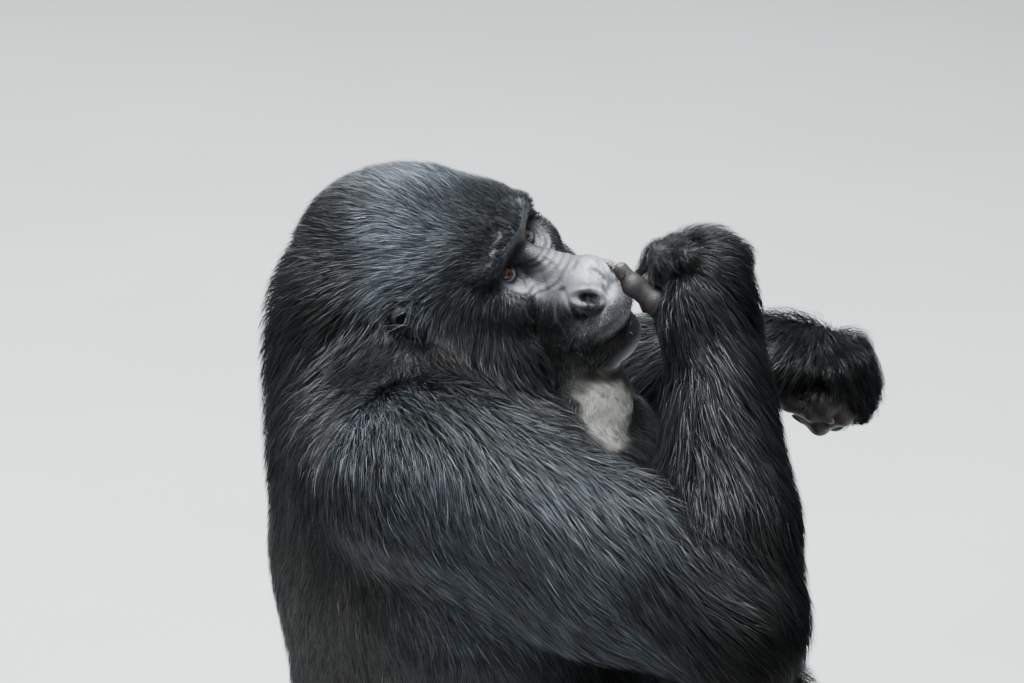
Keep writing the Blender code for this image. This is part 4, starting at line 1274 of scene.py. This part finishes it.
def hide_material():
    """Leathery bare hide: creased cells, pores and blotches, shinier where it is smooth."""
    s = Shader("hide", Specular_IOR_Level=0.35)
    place = s.place()
    warp = s.node("ShaderNodeTexNoise", Vector=place, Scale=60.0, Detail=2.0).outputs["Color"]
    bent = s.node("ShaderNodeVectorMath", {"operation": "MULTIPLY_ADD"})
    s.join(warp, bent.inputs[0])
    bent.inputs[1].default_value = (0.006, 0.006, 0.006)
    s.join(place, bent.inputs[2])
    bent = bent.outputs["Vector"]
    creases = s.cells(330, vector=bent)
    pores = s.cells(700, "F1", vector=bent)
    grain = s.noise(420, 5.0)
    blotch = s.noise(45, 4.0)
    # Painted shade: the hide is darker along its creases; the blotches are its own uneven tone.
    light = s.maths("MULTIPLY", s.spread(creases, 0.0, 0.12, 0.84, 1.02),
                    s.spread(blotch, 0.3, 0.7, 0.72, 1.28))
    s.join(s.times(s.tint(), light), s.surface.inputs["Base Color"])
    s.join(s.spread(grain, 0.3, 0.7, 0.36, 0.58), s.surface.inputs["Roughness"])
    height = s.maths("ADD", s.spread(creases, 0.0, 0.18, 0.0, 1.0), s.spread(pores, 0.0, 0.5, 0.0, 0.35))
    height = s.maths("ADD", height, s.spread(grain, 0.3, 0.7, 0.0, 0.4))
    s.bump(height, 0.35, 0.0006)
    return s.material


def eye_material():
    """A black pupil, a red-brown iris with fibres, a dark rim and a brown-black white of the eye."""
    s = Shader("eye", Roughness=0.06, Specular_IOR_Level=0.6, Coat_Weight=1.0, Coat_Roughness=0.03)
    ring = s.node("ShaderNodeAttribute", {"attribute_name": "ring"}).outputs["Fac"]
    spoke = s.node("ShaderNodeAttribute", {"attribute_name": "spoke"}).outputs["Vector"]
    fibres = s.node("ShaderNodeTexNoise", Vector=spoke, Scale=9.0, Detail=4.0).outputs["Fac"]
    rim = IRIS_ANGLE / 180
    colour = s.ramp(ring, ((0.0, (0.002, 0.002, 0.002)), (rim * 0.46, (0.002, 0.002, 0.002)),
                           (rim * 0.54, (0.095, 0.040, 0.017)), (rim * 0.80, (0.060, 0.024, 0.010)),
                           (rim * 0.98, (0.012, 0.006, 0.004)), (rim * 1.25, (0.020, 0.014, 0.012)),
                           (1.0, (0.030, 0.018, 0.014))))
    s.join(s.times(colour, s.spread(fibres, 0.3, 0.7, 0.45, 1.6)), s.surface.inputs["Base Color"])
    return s.material


def nail_material():
    """Worn dark horn with fine ridges along it."""
    s = Shader("nail", Specular_IOR_Level=0.5)
    grain = s.noise(500, 4.0)
    blotch = s.noise(160, 3.0)
    s.join(s.ramp(blotch, ((0.30, (0.020, 0.017, 0.016)), (0.70, (0.065, 0.056, 0.050)))),
           s.surface.inputs["Base Color"])
    s.join(s.spread(grain, 0.3, 0.7, 0.25, 0.50), s.surface.inputs["Roughness"])
    s.bump(grain, 0.35, 0.0004)
    return s.material


def floor_material():
    s = Shader("floor", Roughness=0.85, Specular_IOR_Level=0.2)
    s.join(s.ramp(s.noise(1.5, 2.0), ((0.3, (0.48, 0.48, 0.475)), (0.7, (0.52, 0.52, 0.515)))),
           s.surface.inputs["Base Color"])
    return s.material


# ---------------- the studio
CAMERA_AIM = np.array((0.06, -0.03287, 0.82969))
CAMERA_DISTANCE = 7.0
CAMERA_ELEVATION = 20.0
CAMERA_LENS = 221.484
FLOOR_SIZE = 60.0
LIGHT_TARGET = (0.05, 0.0, 0.6)
COOL_LIGHT = (0.92, 0.97, 1.0)


def aim(obj, place, target):
    obj.location = place
    obj.rotation_euler = (Vector(target) - Vector(place)).to_track_quat("-Z", "Y").to_euler()


def add_camera():
    data = bpy.data.cameras.new("camera")
    data.lens, data.sensor_width = CAMERA_LENS, 36.0
    data.clip_end = 200.0
    camera = bpy.data.objects.new("camera", data)
    bpy.context.scene.collection.objects.link(camera)
    aim(camera, CAMERA_AIM + CAMERA_DISTANCE * heading(-90, CAMERA_ELEVATION), CAMERA_AIM)
    bpy.context.scene.camera = camera


def soft_light(name, place, width, watts, colour):
    """A round lamp pointed at the middle of the animal."""
    data = bpy.data.lights.new(name, "AREA")
    data.shape, data.size, data.energy, data.color = "DISK", width, watts, colour
    light = bpy.data.objects.new(name, data)
    bpy.context.scene.collection.objects.link(light)
    aim(light, place, LIGHT_TARGET)


def add_studio():
    soft_light("overhead", (-0.2, 0.3, 4.2), 2.2, 820, COOL_LIGHT)
    soft_light("key", (-0.8, -3.2, 4.0), 2.0, 130, (1.0, 0.99, 0.97))
    soft_light("fill", (-3.0, -2.6, 1.6), 2.6, 25, (0.95, 0.98, 1.0))
    soft_light("back", (-1.2, 3.6, 3.0), 2.2, 150, COOL_LIGHT)
    world = bpy.data.worlds.new("studio")
    world.use_nodes = True
    sky = world.node_tree.nodes["Background"]
    sky.inputs["Color"].default_value = (0.90, 0.94, 1.0, 1.0)
    sky.inputs["Strength"].default_value = 0.22
    bpy.context.scene.world = world


def add_floor():
    mesh = new_mesh(
        "floor", lambda bm: bmesh.ops.create_grid(bm, x_segments=8, y_segments=8, size=FLOOR_SIZE / 2))
    mesh.materials.append(floor_material())
    floor = bpy.data.objects.new("floor", mesh)
    bpy.context.scene.collection.objects.link(floor)


# ---------------- putting it together
FLESH = [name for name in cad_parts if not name.startswith("eye")]


def settle(obj):
    bpy.context.scene.collection.objects.link(obj)
    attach(obj, "root")


def flat_floor(mesh):
    """Nothing of the skin goes below the floor."""
    points = vertex_points(mesh)
    points[:, 2] = np.maximum(points[:, 2], 0.0)
    move_vertices(mesh, points)


def add_skin(items):
    skin = skin_mesh(items)
    add_relief(skin.data)
    flat_floor(skin.data)
    change_mesh(skin.data, lambda bm: bmesh.ops.triangulate(bm, faces=bm.faces))
    skin.data.shade_smooth()
    unwrap(skin)
    bpy.context.scene.collection.objects.unlink(skin)
    skin.data.materials.append(hide_material())
    settle(skin)
    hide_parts(*FLESH)
    return skin


def add_coat(skin, items, joint):
    coat = Coat(skin.data, items, joint)
    paint(skin.data, hide_colour(coat.points, 1 - coat.bare))
    material = coat_material()
    for number, name in enumerate(TUFTS_IN):
        rng = np.random.default_rng(SEED + number)
        piece = grow_piece(name, coat, items, rng)
        piece.data.materials.append(material)
        settle(piece)


def add_eyes():
    material = eye_material()
    for side, sign in (("r", -1), ("l", 1)):
        eye = eye_object("eyeball_" + side, sign, material)
        settle(eye)
        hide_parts("eye_" + side)


def add_nails():
    material = nail_material()
    groups = {"nails_hand_r": digits[:5], "nails_hand_l": digits[5:10],
              "nails_foot_r": digits[10:15], "nails_foot_l": digits[15:]}
    for name, places in groups.items():
        mesh = new_mesh(name, lambda bm: build_nails(bm, places))
        settle(smooth_object(name, mesh, material))


items, joint = gorilla_masses()
skin = add_skin(items)
add_coat(skin, items, joint)
add_eyes()
add_nails()
add_floor()
add_studio()
add_camera()
